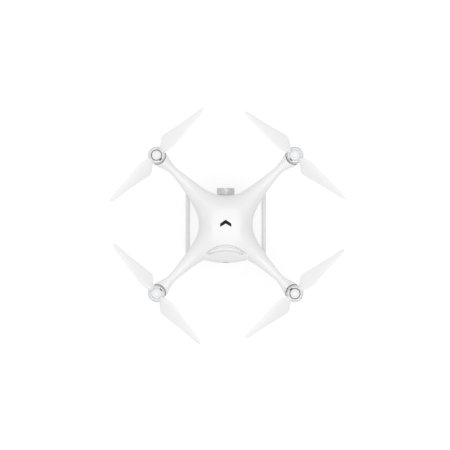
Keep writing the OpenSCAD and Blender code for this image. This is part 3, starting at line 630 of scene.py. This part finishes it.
def rim(q, inset, groove, up):
    """The edge's line near the parting line, groove above or below it."""
    d, t, _ = plan(NOSE if q[1] > 0 else TAIL, inset)
    rows, cols = np.array(rim_ids()).T
    d, t = d[rows, cols], t[rows, cols]
    return place(q, d, t, spline(SEAM, np.hypot(d, t)) + (groove if up else -groove))


GROOVE, GROOVE_IN, GROOVE_GAP = 0.22, 0.3, 0.04


def shell(up):
    """Points and faces of one shell: two skins, joined along an edge that leaves a fine parting groove."""
    parts = []
    rows, cols = np.array(rim_ids()).T
    for q in QUARTERS:
        outer, inner = quarter(q, up, 0.0), quarter(q, up, WALL)
        for grid in (outer, inner):
            parts.append((grid.reshape(-1, 3), sheet_faces(*grid.shape[:2])))
        lines = [outer[rows, cols], rim(q, 0.0, GROOVE, up), rim(q, GROOVE_IN, GROOVE_GAP, up)]
        lines += [rim(q, WALL, GROOVE_GAP, up), inner[rows, cols]]
        parts.append((np.concatenate(lines), band_faces(len(lines), len(rows), closed=False)))
    return joined(parts)


def mouth():
    """The opening that the battery's end cap fills, cut right through both shells."""
    clear, tail = 0.4, -75.0
    x = np.linspace(-CAP_W / 2, CAP_W / 2, 49)
    front = np.stack([x * (1 + 2 * clear / CAP_W), cap_front_y(x) + clear], -1)
    outline = [*front, (CAP_W / 2 + clear, tail), (-CAP_W / 2 - clear, tail)]
    return slab(outline, BELLY_Z - 10, DOME_Z + 10, SQUARE_RIM)


EYE_X, EYE_Z, EYE_R = 22.0, 121.0, 5.8
PORT_W, PORT_H, PORT_ROUND = 9.0, 4.0, 1.6
LINK_R = 2.7
SIDE_WALL = (42, 56)
NOSE_WALL = (30, 70)
WINDOW_GAP = 0.3


def lower_cutters():
    """The mouth, two eyes, the port, the pairing button's hole and the belly window."""
    usb, link = centre("usb_port"), centre("link_button")
    low, high = box_mm("belly_vision_module")
    port = rectangle(-PORT_W / 2, -PORT_H / 2, PORT_W / 2, PORT_H / 2, PORT_ROUND)
    window = rectangle(*(low[:2] - WINDOW_GAP), *(high[:2] + WINDOW_GAP), 1.5)
    cutters = [mouth()]
    cutters += [peg(EYE_R, *NOSE_WALL, (s * EYE_X, 0, EYE_Z), "y") for s in (-1, 1)]
    cutters.append(moved(slab(port, *SIDE_WALL, SQUARE_RIM), shift(0, usb[1], usb[2]) @ SIDEWAYS))
    cutters.append(peg(LINK_R, *SIDE_WALL, (0, link[1], link[2]), "x"))
    cutters.append(slab(window, BELLY_Z - 6, BELLY_Z + 6, SQUARE_RIM))
    return cutters


def make_shells():
    for name, up, cutters in (("upper_shell", True, [mouth()]), ("lower_shell", False, lower_cutters())):
        mesh = cut(f"{name}_skin", shell(up), cutters)
        piece(f"{name}_skin", mesh, "airframe", "shell_white", stands_for=name)


# ---------------- the battery's end cap and latches


def patch(at, low, high, ni, nj):
    """A closed solid between two heights over a patch whose points are at(u, v)."""
    u, v = np.meshgrid(np.linspace(0, 1, ni + 1), np.linspace(0, 1, nj + 1), indexing="ij")
    x, y = at(u, v)
    points = np.stack([np.stack([x, y, height(x, y)], -1) for height in (low, high)]).reshape(-1, 3)
    size = (ni + 1) * (nj + 1)
    ids = np.arange(size).reshape(ni + 1, nj + 1)
    bottom = sheet_faces(ni + 1, nj + 1)
    faces = bottom + [[i + size for i in face] for face in bottom]
    for line in (ids[0], ids[-1], ids[:, 0], ids[:, -1]):
        faces += [[a, b, b + size, a + size] for a, b in zip(line[:-1], line[1:])]
    return points, faces


def cap_at(u, v):
    x = CAP_W * (even_ends(u) - 0.5)
    return x, cap_front_y(x) + (cap_rear_y(x) - cap_front_y(x)) * even_ends(v)


def cap_edge(x, y):
    """How far the cap's skin drops along its edges, where it meets the shells."""
    near = np.minimum(cap_front_y(x) - y, CAP_W / 2 - np.abs(x))
    return 0.5 * np.clip(1 - near / 0.9, 0, 1) ** 2


LATCH_W, LATCH_Y, LATCH_L, LATCH_PROUD, LATCH_T = 60.0, 3.2, 7.0, 0.8, 4.4
LATCH_GAP = 0.35
LATCH_TRAVEL = 2.1
GRIP_DEPTH, GRIP_W, GRIP_PLACES = 0.35, 0.35, (0.35, 0.52, 0.69)


def latch_length(across):
    """Length of a latch, at -1 to 1 across it."""
    return LATCH_L * (1 - 0.72 * across**2)


def latch_plan(clear):
    """Where a latch lies on the cap, or its pocket, which is clear of it all round."""

    def at(u, v):
        s = even_ends(u)
        x = (LATCH_W + 2 * clear) * (s - 0.5)
        front = cap_front_y(x) - LATCH_Y + clear
        back = cap_front_y(x) - LATCH_Y - latch_length(2 * s - 1) - clear
        return x, front + (back - front) * even_ends(v)

    return at


def latch_crown(x, y):
    """A latch stands proud, is rounded at its rim and has three grip grooves."""
    length = latch_length(2 * x / LATCH_W)
    s = np.clip((cap_front_y(x) - LATCH_Y - y) / length, 0, 1)
    rim_drop = sum(0.7 * np.clip(1 - part * length, 0, 1) ** 2 for part in (s, 1 - s))
    grip = sum(np.exp(-(((s - place_in) * length / GRIP_W) ** 2)) for place_in in GRIP_PLACES)
    return LATCH_PROUD - rim_drop - GRIP_DEPTH * grip * ease((18 - np.abs(x)) / 4)


def layer(skin, side, depth, proud):
    """Two height functions, lower first: depth inside a skin and proud(x, y) outside it."""

    def inside(x, y):
        return skin(x, y) - side * depth

    def outside(x, y):
        return skin(x, y) + side * proud(x, y)

    return (inside, outside)[::side]


SKINS = {"top": (skin_top, 1), "bottom": (skin_bottom, -1)}
RECESS_R, RECESS_DEPTH = 9.2, 3.4


def make_battery_cap():
    def clear_of_skin(x, y):
        return 3.0

    def top(x, y):
        return skin_top(x, y) - cap_edge(x, y)

    def bottom(x, y):
        return skin_bottom(x, y) + cap_edge(x, y)

    rear = box_mm("battery_end_cap")[0][1]
    button_z = centre("battery_button")[2]
    cutters = [
        patch(latch_plan(LATCH_GAP), *layer(skin, side, LATCH_T + LATCH_TRAVEL, clear_of_skin), 40, 2)
        for skin, side in SKINS.values()
    ]
    recess = peg(RECESS_R, -rear - RECESS_DEPTH, -rear + 6, (0, 0, button_z), "y", 64)
    cutters.append(moved(recess, turn(180, "Z")))
    mesh = cut("battery_cap_skin", patch(cap_at, bottom, top, 72, 40), cutters)
    piece("battery_cap_skin", mesh, "battery", "shell_white", stands_for="battery_end_cap")


def make_latches():
    for name, (skin, side) in SKINS.items():
        part = patch(latch_plan(0), *layer(skin, side, LATCH_T, latch_crown), 48, 36)
        piece(f"latch_{name}", part, f"{name}_latch", "shell_white", stands_for=f"battery_latch_{name}")


def make_power_button():
    rear, z = box_mm("battery_button")[0][1], centre("battery_button")[2]
    face = [(0, 0.35), (3.2, 0.25), (4.6, 0.05), (5.2, 0), (6.7, 0.0), (7.0, 0.4), (7.0, 1.6), (0, 1.6)]
    part = spun(face, 0.3, 2, 72)
    obj = piece("power_button_face", part, "power_button", "grey_plastic", (0, rear, z), "battery_button")
    obj.rotation_euler = (-math.pi / 2, 0, 0)
    # It rides again, because it was turned after it was put in place.
    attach(obj, "power_button")


def make_charge_lights():
    """Four small bars in the recess round the power button."""
    rear, z = box_mm("battery_button")[0][1], centre("battery_button")[2]
    ring_r, recess_floor, long, wide = 8.1, 1.9, 1.5, 0.35
    bar = slab(rectangle(-long, -wide, long, wide, 0.3), -0.2, 0.5, 0.1)
    for i in range(4):
        angle = 45 + 90 * i
        out = shift(ring_r * math.cos(math.radians(angle)), 0, ring_r * math.sin(math.radians(angle)))
        part = moved(bar, shift(0, rear + recess_floor, z) @ out @ turn(-angle - 90, "Y") @ turn(90, "X"))
        piece(f"charge_light_{i}", part, "battery", "light_cover")


# ---------------- landing gear

SKID_HALF, SKID_DEEP, STRUT_HALF = 3.6, 4.6, 9.0
PAD_W, PAD_L, PAD_Y, PAD_SUNK = 4.4, 26.0, 30.0, 0.3
LEG_ROOT_X, LEG_ROOT_Y, LEG_ROOT_Z = 38.0, 33.0, 107.9
SKID_END_Y, LEG_BEND = 60.0, 17.0
LEG_POWER = 2.7


def skid_x():
    return box_mm("skid_pads")[1][0] - PAD_W / 2


def leg_line(skid_z):
    """The loop's centre line in Y and Z: two struts, bent into a skid."""
    root = np.array([LEG_ROOT_Y, box_mm("landing_gear_right")[1][2] + 4])
    corner, middle = np.array([SKID_END_Y, skid_z]), np.array([0.0, skid_z])
    heading = (root - corner) / np.linalg.norm(root - corner)
    a, b = corner + heading * LEG_BEND, corner - np.array([LEG_BEND, 0])
    half = np.concatenate([straight(root, a, 26)[:-1], bend(a, corner, b, 22), straight(b, middle, 8)[1:-1]])
    return np.concatenate([half, [middle], half[::-1] * (-1, 1)])


def make_legs():
    skid_z = box_mm("skid_pads")[1][2] + SKID_DEEP * math.cos(math.pi / 12)
    line = leg_line(skid_z)
    heading = np.gradient(line, axis=0)
    heading /= np.linalg.norm(heading, axis=1)[:, None]
    across = np.stack([-heading[:, 1], heading[:, 0]], -1)
    height = (line[:, 1] - skid_z) / (LEG_ROOT_Z - skid_z)
    rise = np.clip(height, 0, 1)
    wide = SKID_DEEP + (STRUT_HALF - SKID_DEEP) * rise**0.7 + 3.0 * rise**9
    thick = SKID_HALF + 1.2 * rise**6
    out = skid_x() - (skid_x() - LEG_ROOT_X) * np.clip(height, 0, 1.05) ** 1.3
    angles = np.linspace(0, 2 * np.pi, 28, endpoint=False)
    c, s = (np.sign(v) * np.abs(v) ** (2 / LEG_POWER) for v in (np.cos(angles), np.sin(angles)))
    y = line[:, :1] + across[:, :1] * wide[:, None] * c
    z = line[:, 1:] + across[:, 1:] * wide[:, None] * c
    for side, name in ((-1, "left"), (1, "right")):
        x = side * (out[:, None] + thick[:, None] * s)
        rings = np.stack([x, y, z], -1)
        piece(f"leg_{name}", tube(rings), "airframe", "leg_white", stands_for=f"landing_gear_{name}")


def make_skid_rubbers():
    outline = rectangle(-PAD_W / 2, -PAD_L / 2, PAD_W / 2, PAD_L / 2, 2.0)
    pad = slab(outline, 0, box_mm("skid_pads")[1][2] + PAD_SUNK, 0.5)
    pads = [moved(pad, shift(sx * skid_x(), sy * PAD_Y, 0)) for sx in (-1, 1) for sy in (-1, 1)]
    piece("skid_rubbers", joined(pads), "airframe", "rubber_black", stands_for="skid_pads")


# ---------------- motors and propellers

LEAD = [(6, 3.6), (12, 4.6), (22, 8), (33, 10), (60, 8), (90, 5.6), (112, 3.6), (119.5, 1.4)]
TRAIL = [(6, 3.4), (14, 5.2), (21, 10.4), (28, 15.4), (33, 16.8), (40, 15.8), (60, 12), (90, 6.8)]
TRAIL += [(112, 3.6), (119.5, 1.2)]
PITCH = [(6, 12), (20, 18), (34, 21), (60, 16), (90, 11), (119.5, 8)]
THICK = [(6, 4.6), (16, 3.4), (30, 2.4), (60, 1.7), (90, 1.3), (119.5, 0.8)]
BLADE_ANGLES = {"fl": 45, "fr": 139, "rl": 131, "rr": 42}
CLOCKWISE = ("fl", "rr")
BLADE_ROOT, TIP, TIP_ROUND = 6.0, 119.5, 4.0
CAMBER = 0.045
POD_R = 15.6
# Heights of the dark band of painted shade in the gap round each pod.
GAP_SHADE_LOW, GAP_SHADE_HIGH = 139.0, 147.0
HUB_ABOVE_MOTOR, BLADE_ABOVE_MOTOR, RING_ABOVE_MOTOR = 18.0, 22.5, 27.1


def motor_at(corner):
    sx, sy = CORNERS[corner]
    return sx * MOTOR_X, sy * MOTOR_X, 0


def motor_z(corner):
    """Height of the motor's foot, from the ring on its propeller."""
    return box_mm(f"prop_ring_{corner}")[0][2] - RING_ABOVE_MOTOR


def blade(clockwise):
    """One blade along +X: a cambered section with a blunt nose and a thin tail, rounded off at the tip."""
    shoulder = TIP - TIP_ROUND
    outer = shoulder + TIP_ROUND * np.sin(np.linspace(0, np.pi / 2, 12))[1:]
    r = np.concatenate([np.linspace(BLADE_ROOT, shoulder, 60), outer])
    lead, trail, pitch = spline(LEAD, r), spline(TRAIL, r), np.radians(spline(PITCH, r))
    round_tip = np.sqrt(np.clip(1 - np.clip((r - shoulder) / TIP_ROUND, 0, 1) ** 2, 0.004, 1))
    half = (lead + trail) / 2 / np.cos(pitch) * (0.25 + 0.75 * round_tip)
    mid, thick = (trail - lead) / 2, spline(THICK, r) / 2 * round_tip
    a = np.linspace(0, 2 * np.pi, 36, endpoint=False)
    along = half[:, None] * np.cos(a)
    nose = 0.55 + 0.45 * (1 - np.cos(a)) / 2
    up = thick[:, None] * np.sin(a) * (2 * nose - 0.5) + CAMBER * half[:, None] * (1 - np.cos(a) ** 2)
    cp, sp = np.cos(pitch)[:, None], np.sin(pitch)[:, None]
    rings = np.stack([r[:, None] + 0 * along, mid[:, None] + along * cp + up * sp, up * cp - along * sp], -1)
    if not clockwise:
        rings[..., 1] *= -1
    return tube(rings)


def hub_part():
    """The hub, with a skirt that lies over the motor's top."""
    outside = [(0, 8.8), (8.4, 8.8), (8.4, 2.6), (9.4, 1.8), (12.2, 1.5), (12.2, 0.1)]
    return spun(outside + [(10.6, 0.1), (5.2, 0.1), (5.2, 4.6), (0, 4.6)], 0.5)


def make_blades(corner, at):
    foot = motor_z(corner)
    parts = [moved(hub_part(), shift(0, 0, foot + HUB_ABOVE_MOTOR))]
    for spin in (0, 180):
        lift = turn(spin, "Z") @ shift(0, 0, foot + BLADE_ABOVE_MOTOR)
        parts.append(moved(blade(corner in CLOCKWISE), lift))
    part = moved(joined(parts), turn(BLADE_ANGLES[corner], "Z"))
    piece(f"blades_{corner}", part, f"rotor_{corner}", "blade_white", at, f"propeller_{corner}", sharp=50)


def make_hub_gap_shade(corner, at):
    """A dark bar in the skirt, between the blades, on the side towards the body: painted shade for the
    shadowed gap under the hub.
    """
    z = motor_z(corner) + HUB_ABOVE_MOTOR + 0.9
    side = CORNERS[corner][0]
    shade_bar = slab(rectangle(-3.2, -0.9, 3.2, 0.9, 0.5), z, z + 1.2, 0.2)
    part = moved(shade_bar, turn(BLADE_ANGLES[corner], "Z") @ shift(0, side * 10.8, 0))
    piece(f"hub_gap_shade_{corner}", part, f"rotor_{corner}", "dark_plastic", at)


def make_ring(corner, at):
    """The coloured ring on the hub, and the cup inside it."""
    low, high = (v[2] for v in box_mm(f"prop_ring_{corner}"))
    body, slot = f"rotor_{corner}", "ring_dark" if corner in CLOCKWISE else "ring_silver"
    inner_r, outer_r = 8.5, 9.9
    section = [(inner_r, low), (outer_r, low), (outer_r, high - 0.6), (inner_r, high - 0.6)]
    section = fillet(section, 0.35, 3, closed=True)
    piece(f"collar_{corner}", lathe([*section, section[0]], 96), body, slot, at, f"prop_ring_{corner}")
    cup = [(0, low), (inner_r, low), (inner_r, high - 1.7), (5.1, high - 1.7), (4.9, high - 2.0)]
    cup += [(4.5, high - 2.0), (4.5, high), (0, high)]
    piece(f"collar_cup_{corner}", spun(cup, 0.25), body, "blade_white", at)


def make_bell(corner, at):
    """The motor's bell: a turned can with grooves and cooling slots."""
    z = motor_z(corner) + 0.6
    r, groove_r, wall_r = 13.8, 13.4, 12.5
    outer = [(wall_r, z), (13.5, z), (r, z + 0.4), (r, z + 3.6), (groove_r, z + 3.8), (groove_r, z + 4.2)]
    outer += [(r, z + 4.4), (r, z + 13.2), (13.5, z + 13.4), (13.5, z + 13.8), (r, z + 14.0), (r, z + 15.6)]
    outer += [(12.6, z + 16.9), (4.9, z + 16.9), (4.9, z + 17.4), (0, z + 17.4)]
    inner = [(0, z + 14.4), (wall_r, z + 14.4), (wall_r, z)]
    window = slab(rectangle(-1.1, -1.6, 1.1, 1.6, 0.9), 10, 16, SQUARE_RIM)
    slots = [moved(window, turn(30 * i, "Z") @ shift(0, 0, z + 10.4) @ SIDEWAYS) for i in range(12)]
    mesh = cut(f"bell_{corner}", spun(outer + inner, 0.18, 2), slots)
    piece(f"bell_{corner}", mesh, f"rotor_{corner}", "bell_metal", at, f"motor_bell_{corner}")


def make_shaft(corner, at):
    low, high, r = motor_z(corner) - 1.8, motor_z(corner) + 15.2, 1.5
    part = spun([(0, low), (r, low), (r, high), (0, high)], 0.2, 2, 32)
    piece(f"shaft_{corner}", part, f"rotor_{corner}", "steel", at)


def make_pod(corner, at):
    """A motor's pod, with a stepped rim; the first of the four stands for the CAD's pods."""
    low, high = (v[2] for v in box_mm("motor_mounts"))
    profile = [(0, high - 2.4), (13.8, high - 2.4), (13.8, low), (15.0, low), (POD_R, low + 0.8)]
    profile += [(POD_R, high - 1.2), (14.6, high), (13.9, high), (13.6, high - 0.5), (0, high - 0.5)]
    stands_for = "motor_mounts" if corner == "fl" else None
    piece(f"pod_{corner}", spun(profile, 0.3), "airframe", "shell_white", at, stands_for)


def make_arm_light(corner, at):
    """The light's cover under a pod."""
    z = box_mm("arm_light_covers")[0][2]
    cover = [(0, z), (13.2, z), (15.2, z + 0.5), (POD_R, z + 1.1)]
    cover += [(13.4, z + 1.1), (13.4, z + 2), (0, z + 2)]
    stands_for = "arm_light_covers" if corner == "fl" else None
    piece(f"light_{corner}", spun(cover, 0.3), "airframe", "light_cover", at, stands_for)


def make_pod_gap_shade(corner, at):
    """A dark band in the gap between a pod and the claw of its arm: painted shade, where that gap lies in
    shadow.
    """
    sx, sy = CORNERS[corner]
    inner_r, outer_r, middle_r, half_chord = POD_R + 0.15, POD_R + 0.9, 16.2, 14.2
    reach = math.asin(half_chord / middle_r)
    angles = np.linspace(-reach, reach, 41)
    band = [(inner_r * math.cos(a), inner_r * math.sin(a)) for a in angles]
    band += [(outer_r * math.cos(a), outer_r * math.sin(a)) for a in angles[::-1]]
    part = moved(slab(band, GAP_SHADE_LOW, GAP_SHADE_HIGH, 0.15), turn(math.degrees(math.atan2(-sy, -sx)), "Z"))
    piece(f"pod_gap_shade_{corner}", part, "airframe", "rubber_black", at)


def make_motor(corner):
    at = motor_at(corner)
    make_pod(corner, at)
    make_arm_light(corner, at)
    make_pod_gap_shade(corner, at)
    make_bell(corner, at)
    make_shaft(corner, at)
    make_ring(corner, at)
    make_blades(corner, at)
    make_hub_gap_shade(corner, at)


# ---------------- gimbal and camera


def make_camera_case():
    low, high = box_mm("camera_body")
    side = slab(rectangle(low[0], low[2], -low[0], high[2], 7, 8), low[1], high[1], 1.0)
    piece("camera_case", moved(side, UPRIGHT), "camera", "gimbal_metal", stands_for="camera_body")


def make_lens():
    """The lens barrel with its stepped mouth and knurled grip, and the glass in it."""
    z, back = centre("camera_body")[2], box_mm("camera_body")[1][1]
    r, front, _ = box_mm("lens_barrel")[1]
    foot = [(10.8, back - 3), (10.8, back - 0.2), (r - 1.2, back - 0.2), (r - 1.2, back + 1.2)]
    foot.append((r, back + 1.6))
    groove = [(r, front - 3.2), (r - 0.35, front - 2.9), (r - 0.35, front - 2.4), (r, front - 2.1)]
    lip = [(r, front - 0.9), (r - 0.9, front), (13.2, front), (12.9, front - 0.6), (11.6, front - 1.2)]
    steps = [(11.4, front - 2.0), (10.2, front - 2.6), (10.0, front - 3.6), (8.6, front - 4.4)]
    bore = [(8.4, front - 5.2), (8.2, back - 3)]
    barrel = rod([*foot, *groove, *lip, *steps, *bore, foot[0]], (0, 0, z), "y", 0.2, 128)
    knurls = []
    for a in np.linspace(0, 2 * np.pi, 96, endpoint=False):
        at = (math.cos(a) * (r + 0.12), 0, z + math.sin(a) * (r + 0.12))
        knurls.append(peg(0.28, back + 3.2, front - 4.2, at, "y", 8))
    mesh = cut("lens_ring", barrel, knurls, 30)
    piece("lens_ring", mesh, "camera", "gimbal_metal", stands_for="lens_barrel")
    dome = [(0, front - 3.4), (3, front - 3.55), (5.6, front - 4.0), (7.2, front - 4.6), (8.1, front - 5.2)]
    glass = rod([*dome, (8.1, front - 7), (0, front - 7)], (0, 0, z), "y", 0.4)
    piece("front_glass", glass, "camera", "lens_glass", stands_for="lens_glass")


def make_rear_cover():
    """The camera's back, with cooling fins that follow its round face."""
    z = centre("camera_body")[2]
    low, high = box_mm("camera_rear_cover")
    parts = [slab(rectangle(low[0], low[2], high[0], high[2], 7, 8), low[1] + 1, high[1] + 0.2, 0.6)]
    for x in np.linspace(low[0] + 5, high[0] - 5, 9):
        reach = 10.5 - 0.12 * (x / 4) ** 2
        parts.append(slab(rectangle(x - 0.7, z - reach, x + 0.7, z + reach, 0.6), low[1], low[1] + 1.6, 0.3))
    part = joined([moved(p, UPRIGHT) for p in parts])
    piece("camera_back", part, "camera", "dark_plastic", stands_for="camera_rear_cover")


GIMBAL_Z = centre("roll_motor")[2]
DISC_R = (box_mm("roll_motor")[1][2] - box_mm("roll_motor")[0][2]) / 2
YAW_Y, PITCH_Y = 4.0, 40.0


def make_yaw_bracket():
    z, y, top = GIMBAL_Z, YAW_Y, box_mm("yaw_arm")[1][2]
    disc = [(0, top - 4), (10.2, top - 4), (10.5, top - 0.8), (9.8, top), (0, top)]
    disc = moved(spun(disc, 0.3, 3, 72), shift(0, y, 0))
    web = [(y - 10, z - 7), (y - 3, z - 7), (y - 3, top - 8), (y - 1, top - 6.5)]
    web += [(y, top - 2), (y - 10, top - 2)]
    arm = moved(slab(fillet(web, 2.0, 4, closed=True), -6.5, 6.5, 1.0), SIDEWAYS)
    piece("yaw_bracket", joined([disc, arm]), "gimbal_yaw_frame", "gimbal_metal", stands_for="yaw_arm")


def make_roll_can():
    low, high = (v[1] for v in box_mm("roll_motor"))
    r = DISC_R
    can = [(0, low), (r - 0.6, low), (r, low + 0.6), (r, low + 2.4), (r - 0.4, low + 2.6)]
    can += [(r - 0.4, low + 3.2), (r, low + 3.4), (r, high - 0.5), (r - 0.5, high), (0, high)]
    part = rod(can, (0, 0, GIMBAL_Z), "y", 0.15)
    piece("roll_can", part, "gimbal_yaw_frame", "dark_plastic", stands_for="roll_motor")


def make_roll_bracket():
    """An L-shaped arm with a hub at the roll motor and a cheek at the pitch motor."""
    z, r, back, right = GIMBAL_Z, DISC_R, box_mm("roll_arm")[0][1], box_mm("roll_arm")[1][0]
    inner_x, front = right - 3.4, PITCH_Y + 4
    path = [(-3, back + 3), (right, back + 3), (right, front), (inner_x, front), (inner_x, back + 6.6)]
    path.append((-3, back + 6.6))
    arm = slab(fillet(path, 4.5, 6, closed=True), z - 7, z + 7, 0.9)
    hub = [(0, back), (r - 0.4, back), (r, back + 0.5), (r, back + 3.4), (r - 0.6, back + 4), (0, back + 4)]
    cheek = [(0, inner_x), (r, inner_x), (r, right - 0.7), (r - 0.8, right)]
    cheek += [(5.6, right), (5.2, right - 0.5), (0, right - 0.5)]
    parts = [arm, rod(hub, (0, 0, z), "y"), rod(cheek, (0, PITCH_Y, z), "x")]
    piece("roll_bracket", joined(parts), "gimbal_roll_frame", "gimbal_metal", stands_for="roll_arm")


def make_pitch_can():
    low, high = (v[0] for v in box_mm("pitch_motor"))
    can = [(0, low), (DISC_R - 1.4, low), (DISC_R - 1, low + 0.5), (DISC_R - 1, high), (0, high)]
    part = rod(can, (0, PITCH_Y, GIMBAL_Z), "x", 0.2)
    piece("pitch_can", part, "gimbal_roll_frame", "dark_plastic", stands_for="pitch_motor")


# ---------------- small parts


def make_mark():
    """A plain chevron that points forward, printed on the dome."""
    low, high = box_mm("top_mark")
    w, y0, y1 = high[0], low[1], high[1]
    notch, proud = 0.46 * (y1 - y0), 0.16
    corners = [(0, y1), (w, y0 + notch), (w, y0), (0, y0 + notch), (-w, y0), (-w, y0 + notch)]
    points, faces = slab(fillet(corners, 0.8, 3, closed=True), low[2], low[2] + proud, 0.05)
    points[:, 2] += spline(CREST, np.hypot(points[:, 0], points[:, 1]))
    piece("top_chevron", (points, faces), "airframe", "mark_black", stands_for="top_mark")


def make_front_eyes():
    """Glass over the two front sensors."""
    front = box_mm("front_vision_sensors")[1][1]
    profile = [(0, front - 0.9), (2.0, front - 1.1), (3.6, front - 1.9), (0, front - 2.0)]
    for i, side in enumerate((-1, 1)):
        lens = rod(profile, (side * EYE_X, 0, EYE_Z), "y", 0.2, 48)
        piece(f"front_eye_{i}", lens, "airframe", "lens_glass")


def make_belly_eyes():
    """Glass over the two belly sensors, and a grey disc over each of the sonar pair."""
    _, y, _ = centre("belly_vision_module")
    z = box_mm("belly_vision_module")[0][2]
    lens = spun([(0, z + 0.5), (2.4, z + 0.8), (3.8, z + 1.5), (0, z + 1.6)], 0.2, 3, 48)
    disc = [(0, z + 0.5), (1.5, z + 0.4), (1.8, z + 0.7), (3.2, z + 0.7), (3.5, z + 0.4), (4.9, z + 0.4)]
    sonar = spun([*disc, (5.4, z + 1.0), (0, z + 1.0)], 0.15, 2, 48)
    for i, x in enumerate((-9, 9)):
        piece(f"belly_eye_{i}", lens, "airframe", "lens_glass", (x, y + 6, 0))
        piece(f"sonar_{i}", sonar, "airframe", "grey_plastic", (x, y - 5, 0))


BROAD_EDGE, FINE_EDGE = 0.4, 0.15
BROAD_EDGED = ["damper_plate", "gimbal_base", "battery_bay", "battery_case"]
BROAD_EDGED += ["front_vision_sensors", "belly_vision_module"]
FINE_EDGED = ["gimbal_dampers", "heat_sink", "usb_port", "link_button", "memory_card"]
FINE_EDGED += ["shell_screws", "stator_bases"]


def soften(node, width):
    """Rounds a CAD node's edges with modifiers, leaving its mesh as it is."""
    obj = NODES[node]
    weld = obj.modifiers.new("weld", "WELD")
    weld.merge_threshold = 1e-6
    flat = obj.modifiers.new("flat", "DECIMATE")
    flat.decimate_type, flat.angle_limit = "DISSOLVE", math.radians(0.5)
    bevel = obj.modifiers.new("bevel", "BEVEL")
    bevel.width, bevel.segments, bevel.limit_method = width * MM, 2, "ANGLE"
    bevel.angle_limit, bevel.harden_normals = math.radians(35), False


# ---------------- floor, light and camera


def floor_white():
    """A backlit white floor, on which shadows stay faint; from underneath it is clear."""
    material, tree, shader = new_material("floor_white")
    mixed_base(tree, shader, object_noise(tree, 3, 2), (0.37, 0.37, 0.37), (0.38, 0.38, 0.38))
    shader.inputs["Roughness"].default_value = 0.9
    shader.inputs["Emission Color"].default_value = (1, 1, 1, 1)
    set_by_ray(tree, shader.inputs["Emission Strength"], 0.45, 0.65)
    geometry = tree.nodes.new("ShaderNodeNewGeometry")
    clear = tree.nodes.new("ShaderNodeBsdfTransparent")
    mixed = tree.nodes.new("ShaderNodeMixShader")
    tree.links.new(geometry.outputs["Backfacing"], mixed.inputs[0])
    tree.links.new(shader.outputs[0], mixed.inputs[1])
    tree.links.new(clear.outputs[0], mixed.inputs[2])
    tree.links.new(mixed.outputs[0], tree.nodes["Material Output"].inputs["Surface"])
    return material


def make_stage():
    half = 60.0
    corners = [(-half, -half, 0), (half, -half, 0), (half, half, 0), (-half, half, 0)]
    mesh = bpy.data.meshes.new("floor")
    mesh.from_pydata(corners, [], [(0, 1, 2, 3)])
    floor = bpy.data.objects.new("floor", mesh)
    bpy.context.scene.collection.objects.link(floor)
    mesh.materials.append(floor_white())


SUNS = {
    "overhead": {"strength": 1.25, "spread": 50, "tilt": 6, "heading": 30},
    "side": {"strength": 0.2, "spread": 40, "tilt": 50, "heading": -140},
}


def make_world():
    """A white studio all round, brighter where the camera sees it."""
    scene = bpy.context.scene
    scene.view_settings.view_transform = "Standard"
    scene.world = bpy.data.worlds.new("studio")
    scene.world.use_nodes = True
    tree = scene.world.node_tree
    sky = tree.nodes["Background"]
    sky.inputs["Color"].default_value = (1, 1, 1, 1)
    set_by_ray(tree, sky.inputs["Strength"], 0.62, 0.86)


def make_suns():
    for name, sun in SUNS.items():
        lamp = bpy.data.lights.new(name, "SUN")
        lamp.energy, lamp.angle = sun["strength"], math.radians(sun["spread"])
        obj = bpy.data.objects.new(name, lamp)
        obj.rotation_euler = (math.radians(sun["tilt"]), 0, math.radians(sun["heading"]))
        bpy.context.scene.collection.objects.link(obj)


def make_camera_view():
    """Looks straight down from far off, as the product view does, at the plane of the motors."""
    frame_width, distance, aim = 804.0, 12000.0, (-1.3, -1.1)
    camera = bpy.data.cameras.new("camera")
    camera.lens = camera.sensor_width * distance / frame_width
    camera.clip_end = 60
    obj = bpy.data.objects.new("camera", camera)
    obj.location = Vector((*aim, distance + box_mm("prop_ring_fr")[1][2])) * MM
    bpy.context.scene.collection.objects.link(obj)
    bpy.context.scene.camera = obj


make_camera_view()
make_world()
make_suns()
make_stage()
make_shells()
make_battery_cap()
make_latches()
make_power_button()
make_charge_lights()
make_legs()
make_skid_rubbers()
for corner in CORNERS:
    make_motor(corner)
make_camera_case()
make_lens()
make_rear_cover()
make_yaw_bracket()
make_roll_can()
make_roll_bracket()
make_pitch_can()
make_mark()
make_front_eyes()
make_belly_eyes()
for node in BROAD_EDGED:
    soften(node, BROAD_EDGE)
for node in FINE_EDGED:
    soften(node, FINE_EDGE)
